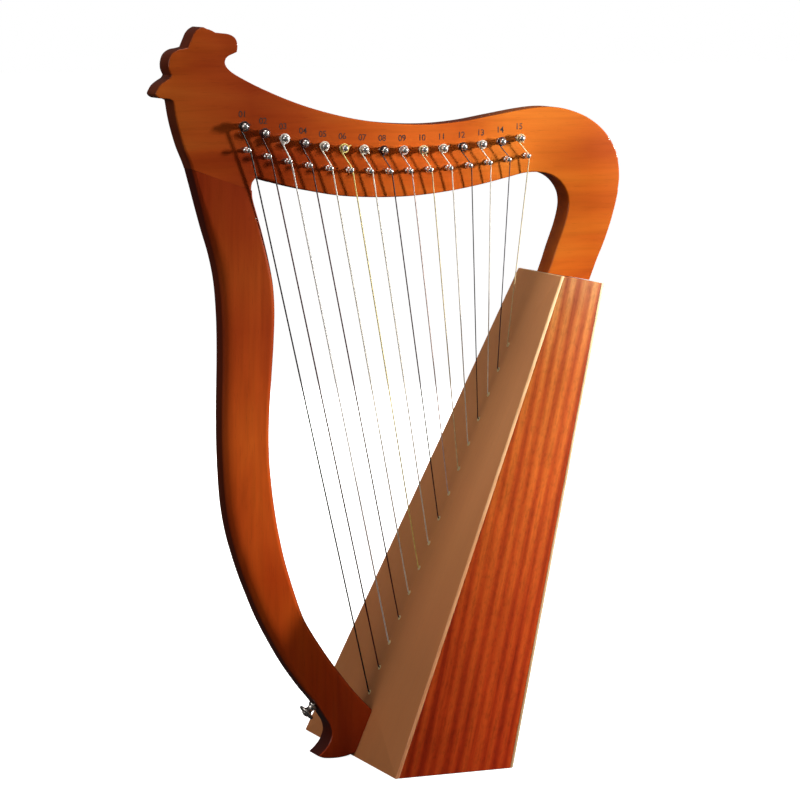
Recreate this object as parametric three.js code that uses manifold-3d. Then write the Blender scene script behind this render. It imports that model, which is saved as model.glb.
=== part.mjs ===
// Fifteen-string celtic lap harp: plate neck and pillar, tapered soundbox.
// Millimetres. +Z up, X in the plane of the strings (pillar and head at -X, soundbox at +X),
// -Y is the side that carries the strings, the player's left. Z = 0 is the table.
import * as THREE from 'three';
import { mergeVertices } from 'three/addons/utils/BufferGeometryUtils.js';
import Module from 'manifold-3d';

const wasm = await Module();
wasm.setup();

// ---------------------------------------------------------------- driving dimensions
const PLATE_T = 22;            // thickness of neck and pillar
const HALF_T = PLATE_T / 2;
const GAP = 0.3;               // glue or fitting gap between neighbouring pieces
// soundbox side outline, XZ
const BOX_A = [-35, 0];        // soundboard, bottom
const BOX_B = [66, 0];         // back panel, bottom
const BOX_C = [132.5, 384.3];  // soundboard, top
const BOX_D = [170, 377.1];    // back panel, top
const HALF_W0 = 97.5;          // half width of the box at the table
const TAPER = 0.1463;          // half width lost per mm of height
const BOARD_T = 2.8;           // soundboard
const SIDE_T = 5;              // side panels
const BACK_T = 2.2;            // back panel
const TOP_T = 4;               // top panel
const BOTTOM_T = 5;            // bottom panel
const TOP_BLOCK_T = 20;
const BOTTOM_BLOCK_T = 22;
const BOTTOM_BLOCK_H = 44;
const RIB_W = 18;
const RIB_T = 7;
// string row on the soundboard: distance from the bottom edge, and pitch
const N_STRINGS = 15;
const ROW_FIRST = 51.8;
const ROW_PITCH = 21.65;
const ROW_Y0 = 6.4;            // the row stands a little beyond the middle of the board
const ROW_Y1 = 4.4;
const EYELET_HOLE_R = 1.9;
// tuning pins: through the neck, string end on -Y, key square on +Y
const PIN_R = 2.5;
const PIN_NEAR = 9.5;          // string end proud of the neck face
const PIN_FAR = 22;            // key end proud of the other face
const PIN_SQ = 4.6;
const PIN_HOLE_R = 2.78;
const BRIDGE_R = 1.25;
const BRIDGE_HEAD_R = 1.9;
const BRIDGE_OUT = 8;
const BRIDGE_DEPTH = 9;
const COIL_Y = -HALF_T - 4.1;  // plane where the string reaches its tuning pin
const GROOVE_Y = -HALF_T - 4.6;

// centres of the pins in the plane of the neck, XZ, bass to treble
const TUNING = [[-128.2, 508.2], [-111.2, 502.6], [-94.6, 498.0], [-77.9, 494.3], [-61.3, 491.4],
  [-44.6, 489.3], [-27.8, 488.0], [-10.8, 487.1], [6.2, 486.7], [23.2, 486.7], [40.3, 487.2],
  [57.4, 488.2], [74.3, 489.7], [91.2, 491.6], [107.9, 493.9]];
const BRIDGE = [[-124.9, 489.5], [-107.9, 484.2], [-90.8, 479.9], [-73.6, 476.5], [-56.3, 473.8],
  [-39.0, 472.0], [-22.2, 470.9], [-5.6, 470.3], [11.6, 470.2], [28.9, 470.7], [46.2, 471.6],
  [63.3, 473.1], [80.2, 475.0], [97.2, 477.2], [114.1, 479.6]];
const STRING_R = [0.62, 0.60, 0.62, 0.56, 0.56, 0.52, 0.52, 0.50, 0.48, 0.46, 0.46, 0.42, 0.42, 0.40, 0.40];

// outline of the neck, XZ: smooth runs that meet at corners
const NECK_RUNS = [
  [[-169.2, 475.6], [-175.9, 494.2], [-181.0, 512.0], [-184.0, 528.6]],
  [[-184.0, 528.6], [-187.6, 530.3], [-192.0, 530.7], [-196.6, 531.4], [-198.6, 533.8], [-195.0, 540.0], [-190.0, 543.8], [-186.6, 545.9], [-185.4, 548.2]],
  [[-185.4, 548.2], [-187.4, 553.0], [-187.4, 558.6], [-185.3, 563.9], [-180.6, 567.3], [-175.5, 568.3], [-171.6, 569.2]],
  [[-171.6, 569.2], [-169.0, 575.2], [-166.2, 580.7], [-160.6, 585.0], [-155.8, 583.4], [-151.6, 581.6], [-149.4, 580.4]],
  [[-149.4, 580.4], [-144.1, 579.8], [-139.2, 579.2], [-135.7, 577.9], [-133.1, 575.8], [-131.8, 572.9], [-131.4, 569.6], [-132.0, 565.6]],
  [[-132.0, 565.6], [-135.4, 564.2], [-138.6, 562.8], [-140.8, 561.0], [-141.9, 557.9], [-141.1, 554.8], [-138.4, 551.5], [-133.9, 548.2], [-128.3, 545.0], [-115.6, 538.6], [-96.9, 530.3],
    [-76.4, 522.7], [-54.9, 516.4], [-33.2, 511.5], [-11.3, 508.2], [10.6, 506.4], [34.2, 506.0], [60.9, 508.1], [87.8, 512.4],
    [114.8, 516.6], [131.5, 518.0], [145.0, 517.1], [158.0, 513.8], [170.2, 508.6], [182.4, 499.8], [191.2, 488.9], [196.8, 476.5],
    [198.7, 461.2], [196.7, 446.0], [192.0, 428.0], [186.6, 412.4], [181.2, 399.4], [172.3, 377.1]],
  [[134.9, 384.2], [144.2, 408.8], [149.6, 423.4], [152.7, 435.6], [153.1, 441.6], [152.3, 447.2], [149.6, 453.2], [144.4, 459.4],
    [137.3, 463.9], [129.5, 466.0], [121.0, 466.5], [113.0, 465.9], [100.9, 463.3], [83.5, 459.4], [66.0, 456.0], [50.0, 453.5],
    [33.0, 451.5], [12.4, 450.0], [-9.5, 449.8], [-31.2, 450.7], [-49.7, 452.5], [-66.0, 455.3], [-84.0, 459.1], [-101.0, 463.6], [-116.4, 468.0]],
  [[-116.4, 468.0], [-119.2, 463.2], [-119.9, 457.7]],
];
// outline of the pillar, XZ; the first straight side is the joint to the neck
const PILLAR_RUNS = [
  [[-119.8, 457.1], [-119.5, 451.0], [-112.4, 424.9], [-106.5, 401.0], [-103.2, 383.0], [-102.0, 364.0], [-102.7, 340.0],
    [-104.6, 312.0], [-106.6, 283.0], [-107.2, 262.0], [-106.8, 244.0], [-105.4, 227.0], [-103.4, 210.0], [-100.2, 190.0],
    [-94.6, 164.4], [-87.6, 141.0], [-80.2, 119.6], [-76.2, 110.8], [-63.6, 90.5], [-51.8, 73.6], [-37.0, 55.0], [-19.3, 36.9]],
  [[-34.2, 2.8], [-40.5, 0.9], [-47.5, 0.0], [-54.5, 0.0], [-61.5, 0.9], [-65.6, 2.6]],
  [[-65.6, 2.6], [-60.6, 7.0], [-56.8, 11.6], [-54.2, 17.4], [-53.8, 22.0], [-55.4, 27.6]],
  [[-55.4, 27.6], [-60.0, 35.0], [-66.0, 45.2], [-74.6, 56.6], [-89.9, 78.2], [-104.8, 104.0], [-113.2, 121.0], [-119.6, 136.4],
    [-124.8, 149.6], [-130.4, 166.0], [-136.6, 188.0], [-140.4, 210.0], [-142.4, 236.0], [-143.3, 262.0], [-143.2, 290.0],
    [-142.4, 320.0], [-142.3, 345.0], [-143.0, 366.0], [-145.0, 388.0], [-149.2, 408.4], [-155.2, 428.2], [-160.0, 445.2],
    [-167.6, 470.2], [-169.0, 475.0]],
];
const BUTTON_AT = [-64.9, 42.6];          // strap button: foot of its axis on the pillar
const BUTTON_DIR = [-0.767, -0.642];

// ---------------------------------------------------------------- helpers
const X = new THREE.Vector3(1, 0, 0);
const boardLen = Math.hypot(BOX_C[0] - BOX_A[0], BOX_C[1] - BOX_A[1]);
const U = new THREE.Vector3((BOX_C[0] - BOX_A[0]) / boardLen, 0, (BOX_C[1] - BOX_A[1]) / boardLen); // up the board
const N = new THREE.Vector3(U.z, 0, -U.x);                                                         // into the box
const boardPoint = (s, y, depth) => new THREE.Vector3(BOX_A[0], y, BOX_A[1]).addScaledVector(U, s).addScaledVector(N, depth);

function simplify(pts, tol) {
  const keep = new Array(pts.length).fill(false);
  keep[0] = keep[pts.length - 1] = true;
  const stack = [[0, pts.length - 1]];
  while (stack.length) {
    const [a, b] = stack.pop();
    const dx = pts[b].x - pts[a].x, dy = pts[b].y - pts[a].y, len = Math.hypot(dx, dy) || 1;
    let worst = tol, at = -1;
    for (let i = a + 1; i < b; i++) {
      const d = Math.abs((pts[i].x - pts[a].x) * dy - (pts[i].y - pts[a].y) * dx) / len;
      if (d > worst) { worst = d; at = i; }
    }
    if (at > 0) { keep[at] = true; stack.push([a, at], [at, b]); }
  }
  return pts.filter((_, i) => keep[i]);
}
function outline(runs, tol) {
  const out = [];
  for (const run of runs) {
    let pts = run.map(([x, z]) => new THREE.Vector2(x, z));
    if (run.length > 2) {
      const c = new THREE.CatmullRomCurve3(run.map(([x, z]) => new THREE.Vector3(x, z, 0)), false, 'centripetal');
      pts = simplify(c.getPoints((run.length - 1) * 12).map(p => new THREE.Vector2(p.x, p.y)), tol);
    }
    for (const p of pts) if (!out.length || out[out.length - 1].distanceTo(p) > 0.05) out.push(p);
  }
  if (out[0].distanceTo(out[out.length - 1]) < 0.05) out.pop();
  return out;
}
// a flat shape drawn in XZ, given thickness from y0 to y1
function slab(points, y0, y1) {
  const shape = new THREE.Shape(points.map(p => (p.isVector2 ? p : new THREE.Vector2(p[0], p[1]))));
  const g = new THREE.ExtrudeGeometry(shape, { depth: y1 - y0, bevelEnabled: false, steps: 1 });
  g.rotateX(Math.PI / 2);            // drawing plane to XZ, thickness towards -Y
  g.translate(0, y1, 0);
  return g;
}
function solid(geometry) {
  let g = geometry.index ? geometry.toNonIndexed() : geometry.clone();
  for (const name of Object.keys(g.attributes)) if (name !== 'position') g.deleteAttribute(name);
  g = mergeVertices(g, 1e-4);
  const m = new wasm.Mesh({
    numProp: 3,
    vertProperties: new Float32Array(g.attributes.position.array),
    triVerts: new Uint32Array(g.index.array),
  });
  m.merge();
  return new wasm.Manifold(m);
}
function geometryOf(manifold) {
  const m = manifold.getMesh();
  const g = new THREE.BufferGeometry();
  g.setAttribute('position', new THREE.BufferAttribute(new Float32Array(m.vertProperties), 3));
  g.setIndex(new THREE.BufferAttribute(new Uint32Array(m.triVerts), 1));
  g.computeVertexNormals();
  return g;
}
// profile [radius, height] turned about an axis from `at` along `dir`
function turned(profile, sides, at, dir) {
  const g = new THREE.LatheGeometry(profile.map(([r, h]) => new THREE.Vector2(r, h)), sides);
  g.applyQuaternion(new THREE.Quaternion().setFromUnitVectors(new THREE.Vector3(0, 1, 0), dir.clone().normalize()));
  g.translate(at.x, at.y, at.z);
  return g;
}
function lathed(profile, sides, at, dir) {
  let m = solid(turned(profile, sides, at, dir));
  if (m.volume() < 0) m = solid(turned(profile.slice().reverse(), sides, at, dir));
  return m;
}
function bore(radius, sides, from, to) {
  const len = from.distanceTo(to);
  return lathed([[0, 0], [radius, 0], [radius, len], [0, len]], sides, from, to.clone().sub(from));
}
// the space between the two leaning side planes, each moved in by `inset`
function wedge(inset) {
  const f = inset * Math.hypot(1, TAPER);
  const y0 = HALF_W0 - f, y1 = HALF_W0 - f - TAPER * 400;
  const shape = new THREE.Shape([new THREE.Vector2(-y0 - TAPER * 5, -5), new THREE.Vector2(y0 + TAPER * 5, -5),
    new THREE.Vector2(y1, 400), new THREE.Vector2(-y1, 400)]);
  const g = new THREE.ExtrudeGeometry(shape, { depth: 300, bevelEnabled: false, steps: 1 });
  g.rotateX(Math.PI / 2);
  g.rotateZ(Math.PI / 2);
  g.translate(-60, 0, 0);
  return solid(g);
}
// ---- straight lines in XZ that bound the box, moved inwards by a distance
const lineOf = (p, q, inward, d) => {
  const len = Math.hypot(q[0] - p[0], q[1] - p[1]);
  const n = [-(q[1] - p[1]) / len * inward, (q[0] - p[0]) / len * inward];
  return [[p[0] + n[0] * d, p[1] + n[1] * d], [q[0] + n[0] * d, q[1] + n[1] * d]];
};
const meet = ([a, b], [c, d]) => {
  const r = [b[0] - a[0], b[1] - a[1]], s = [d[0] - c[0], d[1] - c[1]];
  const t = ((c[0] - a[0]) * s[1] - (c[1] - a[1]) * s[0]) / (r[0] * s[1] - r[1] * s[0]);
  return [a[0] + r[0] * t, a[1] + r[1] * t];
};
const front = d => lineOf(BOX_A, BOX_C, -1, d);   // soundboard plane, moved in by d
const back = d => lineOf(BOX_B, BOX_D, 1, d);
const top = d => lineOf(BOX_C, BOX_D, -1, d);
const bottom = d => lineOf(BOX_A, BOX_B, 1, d);
const panel = (f, k, t, b) => [meet(b, f), meet(b, k), meet(t, k), meet(t, f)];

// a tube whose path is given node by node
class NodePath extends THREE.Curve {
  constructor(nodes) { super(); this.nodes = nodes; }
  getPoint(t, target = new THREE.Vector3()) {
    const n = this.nodes.length - 1, i = Math.min(n - 1, Math.floor(t * n + 1e-9)), f = t * n - i;
    return target.copy(this.nodes[i]).lerp(this.nodes[i + 1], Math.max(0, Math.min(1, f)));
  }
  getPointAt(u, target) { return this.getPoint(u, target); }
  getTangentAt(u, target = new THREE.Vector3()) {
    const n = this.nodes.length - 1, i = Math.round(u * n);
    const a = this.nodes[Math.max(0, i - 1)], b = this.nodes[Math.min(n, i + 1)], p = this.nodes[i];
    const d0 = p.clone().sub(a), d1 = b.clone().sub(p);
    if (d0.length() > 0) d0.normalize();
    if (d1.length() > 0) d1.normalize();
    return target.copy(d0.add(d1)).normalize();
  }
  getTangent(t, target) { return this.getTangentAt(t, target); }
}
function tube(nodes, radius, sides) {
  const section = new THREE.Shape();
  for (let i = 0; i < sides; i++) {
    const a = (i / sides) * 2 * Math.PI;
    if (i) section.lineTo(Math.cos(a) * radius, Math.sin(a) * radius);
    else section.moveTo(Math.cos(a) * radius, Math.sin(a) * radius);
  }
  section.closePath();
  return new THREE.ExtrudeGeometry(section, { steps: nodes.length - 1, extrudePath: new NodePath(nodes), bevelEnabled: false, curveSegments: 1 });
}

// ---------------------------------------------------------------- materials
const mat = (color, roughness, metalness = 0) => new THREE.MeshStandardMaterial({ color, roughness, metalness });
const lacqueredWood = mat(0xa8501c, 0.25);
const soundboardWood = mat(0x94694a, 0.6);
const ribbonWood = mat(0xb4532a, 0.3);
const backWood = mat(0x8c6038, 0.5);
const plainWood = mat(0xc9a877, 0.75);
const steel = mat(0xc9c9cc, 0.25, 1);
const darkSteel = mat(0x6a6764, 0.3, 1);
const stringColours = [0x17120f, 0x3c0f0c, 0xb9b6b2, 0x2a1512, 0xc8c5c1, 0xd9b64a, 0xc8c5c1, 0x341512,
  0xc5b4ae, 0xd8c58c, 0xc8c5c1, 0x241c1a, 0xc4c0ba, 0x2b2436, 0xcdbf98];

const harp = new THREE.Group();
function add(name, manifold, material) {
  const mesh = new THREE.Mesh(geometryOf(manifold), material);
  mesh.name = name;
  harp.add(mesh);
}
const num = i => String(i + 1).padStart(2, '0');

// ---------------------------------------------------------------- neck and pillar
const pinAt = (p, y) => new THREE.Vector3(p[0], y, p[1]);
const topMid = [(134.9 + 172.3) / 2, 0];
topMid[1] = BOX_C[1] + (topMid[0] - BOX_C[0]) * (BOX_D[1] - BOX_C[1]) / (BOX_D[0] - BOX_C[0]);
const boxUp = new THREE.Vector3(-(BOX_D[1] - BOX_C[1]), 0, BOX_D[0] - BOX_C[0]).normalize();
const screwBase = new THREE.Vector3(topMid[0], 0, topMid[1]);

let neck = solid(slab(outline(NECK_RUNS, 0.14), -HALF_T, HALF_T));
for (let i = 0; i < N_STRINGS; i++) {
  neck = neck.subtract(bore(PIN_HOLE_R, 12, pinAt(TUNING[i], -HALF_T - 1), pinAt(TUNING[i], HALF_T + 1)));
  neck = neck.subtract(bore(BRIDGE_R + 0.32, 8, pinAt(BRIDGE[i], -HALF_T - 1), pinAt(BRIDGE[i], -HALF_T + BRIDGE_DEPTH + 0.4)));
}
// keep the neck foot clear of the top panel, and bore it for the screw
const cutTop = solid(slab([[110, 350], [190, 350], meet(top(-GAP), [[190, 0], [190, 1]]), meet(top(-GAP), [[110, 0], [110, 1]])], -HALF_T - 1, HALF_T + 1));
neck = neck.subtract(cutTop);
neck = neck.subtract(bore(2.6, 10, screwBase.clone().addScaledVector(boxUp, -2), screwBase.clone().addScaledVector(boxUp, 32)));
add('neck', neck, lacqueredWood);

const buttonFoot = new THREE.Vector3(BUTTON_AT[0], 0, BUTTON_AT[1]);
const buttonDir = new THREE.Vector3(BUTTON_DIR[0], 0, BUTTON_DIR[1]).normalize();
let pillar = solid(slab(outline(PILLAR_RUNS, 0.14), -HALF_T, HALF_T));
const cutBoard = solid(slab([...lineOf(BOX_A, BOX_C, 1, GAP).map(p => [p[0], p[1]]), [200, 384], [200, -20], meet(lineOf(BOX_A, BOX_C, 1, GAP), [[0, -20], [1, -20]])], -HALF_T - 1, HALF_T + 1));
pillar = pillar.subtract(cutBoard);
const pillarScrewAt = boardPoint(28, 0, 0);
pillar = pillar.subtract(bore(2.6, 10, pillarScrewAt.clone().addScaledVector(N, 1), pillarScrewAt.clone().addScaledVector(N, -24)));
pillar = pillar.subtract(bore(1.75, 8, buttonFoot.clone().addScaledVector(buttonDir, 3), buttonFoot.clone().addScaledVector(buttonDir, -17.5)));
add('pillar', pillar, lacqueredWood);

// ---------------------------------------------------------------- soundbox
const full = wedge(0);
const inner = wedge(SIDE_T);
const clear = wedge(SIDE_T + GAP);
const rowY = i => ROW_Y0 + (ROW_Y1 - ROW_Y0) * i / (N_STRINGS - 1);
const rowS = i => ROW_FIRST + ROW_PITCH * i;

let board = solid(slab(panel(front(0), front(BOARD_T), top(0), bottom(0)), -120, 120)).intersect(full);
for (let i = 0; i < N_STRINGS; i++) board = board.subtract(bore(EYELET_HOLE_R, 8, boardPoint(rowS(i), rowY(i), -2), boardPoint(rowS(i), rowY(i), BOARD_T + 2)));
board = board.subtract(bore(2.6, 10, pillarScrewAt.clone().addScaledVector(N, -2), pillarScrewAt.clone().addScaledVector(N, 6)));
add('soundboard', board, soundboardWood);

const sideShape = panel(front(BOARD_T + GAP), back(BACK_T + GAP), top(0), bottom(0));
add('side_panel_left', solid(slab(sideShape, -120, 0)).intersect(full).subtract(inner), ribbonWood);
add('side_panel_right', solid(slab(sideShape, 0, 120)).intersect(full).subtract(inner), ribbonWood);

let backPanel = solid(slab(panel(back(BACK_T), back(0), top(0), bottom(0)), -120, 120)).intersect(full);
const backLen = Math.hypot(BOX_D[0] - BOX_B[0], BOX_D[1] - BOX_B[1]);
const backU = new THREE.Vector3((BOX_D[0] - BOX_B[0]) / backLen, 0, (BOX_D[1] - BOX_B[1]) / backLen);
const backN = new THREE.Vector3(backU.z, 0, -backU.x);
for (const [s, r] of [[110, 27], [205, 22], [290, 17]]) {
  const c = new THREE.Vector3(BOX_B[0], 0, BOX_B[1]).addScaledVector(backU, s);
  backPanel = backPanel.subtract(bore(r, 28, c.clone().addScaledVector(backN, 2), c.clone().addScaledVector(backN, -BACK_T - 2)));
}
add('back_panel', backPanel, backWood);

let topPanel = solid(slab(panel(front(BOARD_T + GAP), back(BACK_T + GAP), top(TOP_T), top(0)), -120, 120)).intersect(clear);
topPanel = topPanel.subtract(bore(2.9, 10, screwBase.clone().addScaledVector(boxUp, -6), screwBase.clone().addScaledVector(boxUp, 2)));
add('top_panel', topPanel, ribbonWood);

add('bottom_panel', solid(slab(panel(front(BOARD_T + GAP), back(BACK_T + GAP), bottom(BOTTOM_T), bottom(0)), -120, 120)).intersect(clear), plainWood);

let topBlock = solid(slab(panel(front(BOARD_T + GAP), back(BACK_T + GAP), top(TOP_T + GAP), top(TOP_T + GAP + TOP_BLOCK_T)), -120, 120)).intersect(clear);
topBlock = topBlock.subtract(bore(2.9, 10, screwBase.clone().addScaledVector(boxUp, -40), screwBase.clone().addScaledVector(boxUp, 2)));
add('top_block', topBlock, plainWood);

const blockShape = [meet(front(BOARD_T + GAP), bottom(BOTTOM_T + GAP)), meet(front(BOARD_T + GAP + BOTTOM_BLOCK_T), bottom(BOTTOM_T + GAP)),
  meet(front(BOARD_T + GAP + BOTTOM_BLOCK_T), bottom(BOTTOM_BLOCK_H - 17)), meet(front(BOARD_T + GAP), bottom(BOTTOM_BLOCK_H - 8))];
let bottomBlock = solid(slab(blockShape, -55, 55)).intersect(clear);
bottomBlock = bottomBlock.subtract(bore(2.9, 10, pillarScrewAt.clone().addScaledVector(N, 2), pillarScrewAt.clone().addScaledVector(N, 40)));
add('bottom_block', bottomBlock, plainWood);

// rib glued behind the string row
const ribS0 = rowS(0) - 8.5, ribS1 = rowS(N_STRINGS - 1) + 12;
const ribMid = (ROW_Y0 + ROW_Y1) / 2;
const ribA = boardPoint(ribS0, 0, BOARD_T + GAP), ribB = boardPoint(ribS1, 0, BOARD_T + GAP);
const ribC = boardPoint(ribS1, 0, BOARD_T + GAP + RIB_T), ribD = boardPoint(ribS0, 0, BOARD_T + GAP + RIB_T);
let rib = solid(slab([[ribA.x, ribA.z], [ribD.x, ribD.z], [ribC.x, ribC.z], [ribB.x, ribB.z]], ribMid - RIB_W / 2, ribMid + RIB_W / 2));
for (let i = 0; i < N_STRINGS; i++) rib = rib.subtract(bore(1.6, 6, boardPoint(rowS(i), rowY(i), 0), boardPoint(rowS(i), rowY(i), 20)));
add('string_rib', rib, plainWood);

// ---------------------------------------------------------------- fasteners
const screwProfile = (shank, head, headH, len) => [[0, -headH], [head * 0.7, -headH], [head, -headH * 0.4], [head, 0], [shank, 0], [shank, len - 3], [0.4, len], [0, len]];
const neckScrewFrom = screwBase.clone().addScaledVector(boxUp, -(TOP_T + 2 * GAP + TOP_BLOCK_T + 0.2));
add('neck_screw', lathed(screwProfile(2.3, 5, 3, TOP_T + 2 * GAP + TOP_BLOCK_T + 30), 12, neckScrewFrom, boxUp), steel);
const pillarScrewFrom = pillarScrewAt.clone().addScaledVector(N, BOARD_T + GAP + BOTTOM_BLOCK_T + 0.3);
add('pillar_screw', lathed(screwProfile(2.3, 5, 3, BOARD_T + 2 * GAP + BOTTOM_BLOCK_T + 22), 12, pillarScrewFrom, N.clone().negate()), steel);
const buttonProfile = [[1.75, 0.9], [4.6, 0.9], [4.6, 1.9], [3.1, 3.2], [2.7, 5.2], [3.4, 7.0], [7.1, 8.0], [7.1, 9.4], [6.2, 10.2], [1.75, 10.2], [1.75, 0.9]];
add('strap_button', lathed(buttonProfile, 20, buttonFoot, buttonDir), darkSteel);
add('strap_button_screw', lathed([[0, -16], [0.4, -16], [1.4, -13], [1.4, 10.5], [3.2, 10.5], [3.0, 11.3], [1.6, 11.9], [0, 11.9]], 12, buttonFoot, buttonDir), darkSteel);

// ---------------------------------------------------------------- pins and strings
const Y = new THREE.Vector3(0, 1, 0);
for (let i = 0; i < N_STRINGS; i++) {
  const at = pinAt(TUNING[i], 0);
  const yn = -HALF_T - PIN_NEAR, yf = HALF_T + PIN_FAR;
  let pin = lathed([[0, yn], [1.5, yn + 0.25], [2.3, yn + 1.0], [PIN_R, yn + 1.8], [PIN_R, yf - 13], [0, yf - 13]], 12, at, Y);
  const sq = new THREE.BoxGeometry(PIN_SQ, 13.2, PIN_SQ);
  sq.rotateY(Math.PI / 4 * (i % 3) / 3);
  sq.translate(at.x, yf - 6.6, at.z);
  pin = pin.add(solid(sq));
  add(`tuning_pin_${num(i)}`, pin, steel);
}
for (let i = 0; i < N_STRINGS; i++) {
  const at = pinAt(BRIDGE[i], -HALF_T);
  const prof = [[0, -BRIDGE_DEPTH], [BRIDGE_R, -BRIDGE_DEPTH], [BRIDGE_R, GAP], [2.3, GAP], [2.3, 1.6], [1.35, 3.2], [1.35, 5.4], [BRIDGE_HEAD_R, 6.2], [BRIDGE_HEAD_R, 7.4], [1.1, BRIDGE_OUT], [0, BRIDGE_OUT]];
  add(`bridge_pin_${num(i)}`, lathed(prof, 8, at, Y.clone().negate()), steel);
}
for (let i = 0; i < N_STRINGS; i++) {
  const r = STRING_R[i];
  const T = pinAt(TUNING[i], COIL_Y), B = pinAt(BRIDGE[i], GROOVE_Y);
  const rc = (PIN_R + 0.12 + r) / Math.cos(Math.PI / 8);   // coil, eight sides a turn
  const rb = 1.35 + 0.2 + r;
  const H = boardPoint(rowS(i), rowY(i), 0);
  // lower run: hole to the right-hand side of the bridge pin
  const lower = new THREE.Vector3(B.x - H.x, 0, B.z - H.z).normalize();
  const bRight = new THREE.Vector3(lower.z, 0, -lower.x);
  // upper run: bridge pin right-hand side to tuning pin left-hand side (crossing tangent)
  const d = new THREE.Vector3(T.x - B.x, 0, T.z - B.z), dist = d.length(); d.normalize();
  const sinA = (rc + rb) / dist, cosA = Math.sqrt(1 - sinA * sinA);
  const perp = new THREE.Vector3(d.z, 0, -d.x);                    // right-hand side going up
  const side = perp.clone().multiplyScalar(cosA).addScaledVector(d, sinA);
  const b1 = B.clone().addScaledVector(side, rb);
  const mid = bRight.clone().add(side).normalize();
  const nodes = [
    boardPoint(rowS(i), rowY(i), BOARD_T + GAP + RIB_T + 2.2),
    boardPoint(rowS(i), rowY(i), 0.6),
    boardPoint(rowS(i), rowY(i), -1.4),
    B.clone().addScaledVector(bRight, rb),
    B.clone().addScaledVector(mid, rb * 1.02),
    b1,
  ];
  // coil: up the left-hand side and over the top, working back towards the neck
  const start = Math.atan2(-side.z, -side.x);
  const step = Math.PI / 4, turns = 12;
  for (let k = 0; k <= turns; k++) {
    const a = start - k * step;
    nodes.push(new THREE.Vector3(T.x + rc * Math.cos(a), COIL_Y - (2 * r + 0.15) * k / 8, T.z + rc * Math.sin(a)));
  }
  let s = solid(tube(nodes, r, 5));
  if (s.volume() < 0) throw new Error('string turned inside out');
  const knotAt = nodes[0];
  s = s.add(lathed([[0, -1.6], [2.0, -0.8], [2.0, 0.8], [0, 1.6]], 6, knotAt, N));
  const m = new THREE.MeshStandardMaterial({ color: stringColours[i], roughness: 0.4, metalness: [2, 4, 6, 8, 10, 12].includes(i) ? 0.6 : 0 });
  add(`string_${num(i)}`, s, m);
}

export default harp;
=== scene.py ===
import math
import bpy, bmesh
import numpy as np
from mathutils import Vector, Matrix


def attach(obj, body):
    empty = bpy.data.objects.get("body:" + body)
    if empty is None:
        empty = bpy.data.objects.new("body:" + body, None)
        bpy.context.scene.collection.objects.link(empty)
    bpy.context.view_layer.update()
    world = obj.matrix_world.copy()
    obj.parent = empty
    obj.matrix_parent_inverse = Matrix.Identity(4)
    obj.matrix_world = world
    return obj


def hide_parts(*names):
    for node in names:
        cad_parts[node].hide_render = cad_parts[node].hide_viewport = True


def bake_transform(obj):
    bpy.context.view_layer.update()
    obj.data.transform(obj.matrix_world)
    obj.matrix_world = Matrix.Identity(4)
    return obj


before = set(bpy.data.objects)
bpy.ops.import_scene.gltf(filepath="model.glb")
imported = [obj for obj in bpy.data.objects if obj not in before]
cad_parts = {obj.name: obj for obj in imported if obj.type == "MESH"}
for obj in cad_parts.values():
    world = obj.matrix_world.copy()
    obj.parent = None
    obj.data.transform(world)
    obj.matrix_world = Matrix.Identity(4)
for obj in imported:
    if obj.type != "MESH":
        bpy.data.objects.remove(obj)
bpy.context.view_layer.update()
MM = 0.001
ROOT = "frame"
N_STR = 15

# ------------------------------------------------------------------ the frame's own numbers (mm)
PLATE_T, HALF_T = 22.0, 11.0
BOX_A, BOX_B, BOX_C, BOX_D = (-35.0, 0.0), (66.0, 0.0), (132.5, 384.3), (170.0, 377.1)
HALF_W0, TAPER = 97.5, 0.1463
BOARD_T, SIDE_T, BACK_T, TOP_T, BOTTOM_T, GAP = 2.8, 5.0, 2.2, 4.0, 5.0, 0.3
ROW_FIRST, ROW_PITCH, ROW_Y0, ROW_Y1 = 51.8, 21.65, 6.4, 4.4
PIN_R, PIN_NEAR, PIN_FAR = 2.5, 9.5, 22.0
COIL_Y, GROOVE_Y = -HALF_T - 4.1, -HALF_T - 4.6
RIB_T = 7.0
TUNING = [(-128.2, 508.2), (-111.2, 502.6), (-94.6, 498.0), (-77.9, 494.3), (-61.3, 491.4),
          (-44.6, 489.3), (-27.8, 488.0), (-10.8, 487.1), (6.2, 486.7), (23.2, 486.7), (40.3, 487.2),
          (57.4, 488.2), (74.3, 489.7), (91.2, 491.6), (107.9, 493.9)]
BRIDGE = [(-124.9, 489.5), (-107.9, 484.2), (-90.8, 479.9), (-73.6, 476.5), (-56.3, 473.8),
          (-39.0, 472.0), (-22.2, 470.9), (-5.6, 470.3), (11.6, 470.2), (28.9, 470.7), (46.2, 471.6),
          (63.3, 473.1), (80.2, 475.0), (97.2, 477.2), (114.1, 479.6)]
STRING_R = [0.62, 0.60, 0.62, 0.56, 0.56, 0.52, 0.52, 0.50, 0.48, 0.46, 0.46, 0.42, 0.42, 0.40, 0.40]
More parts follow.
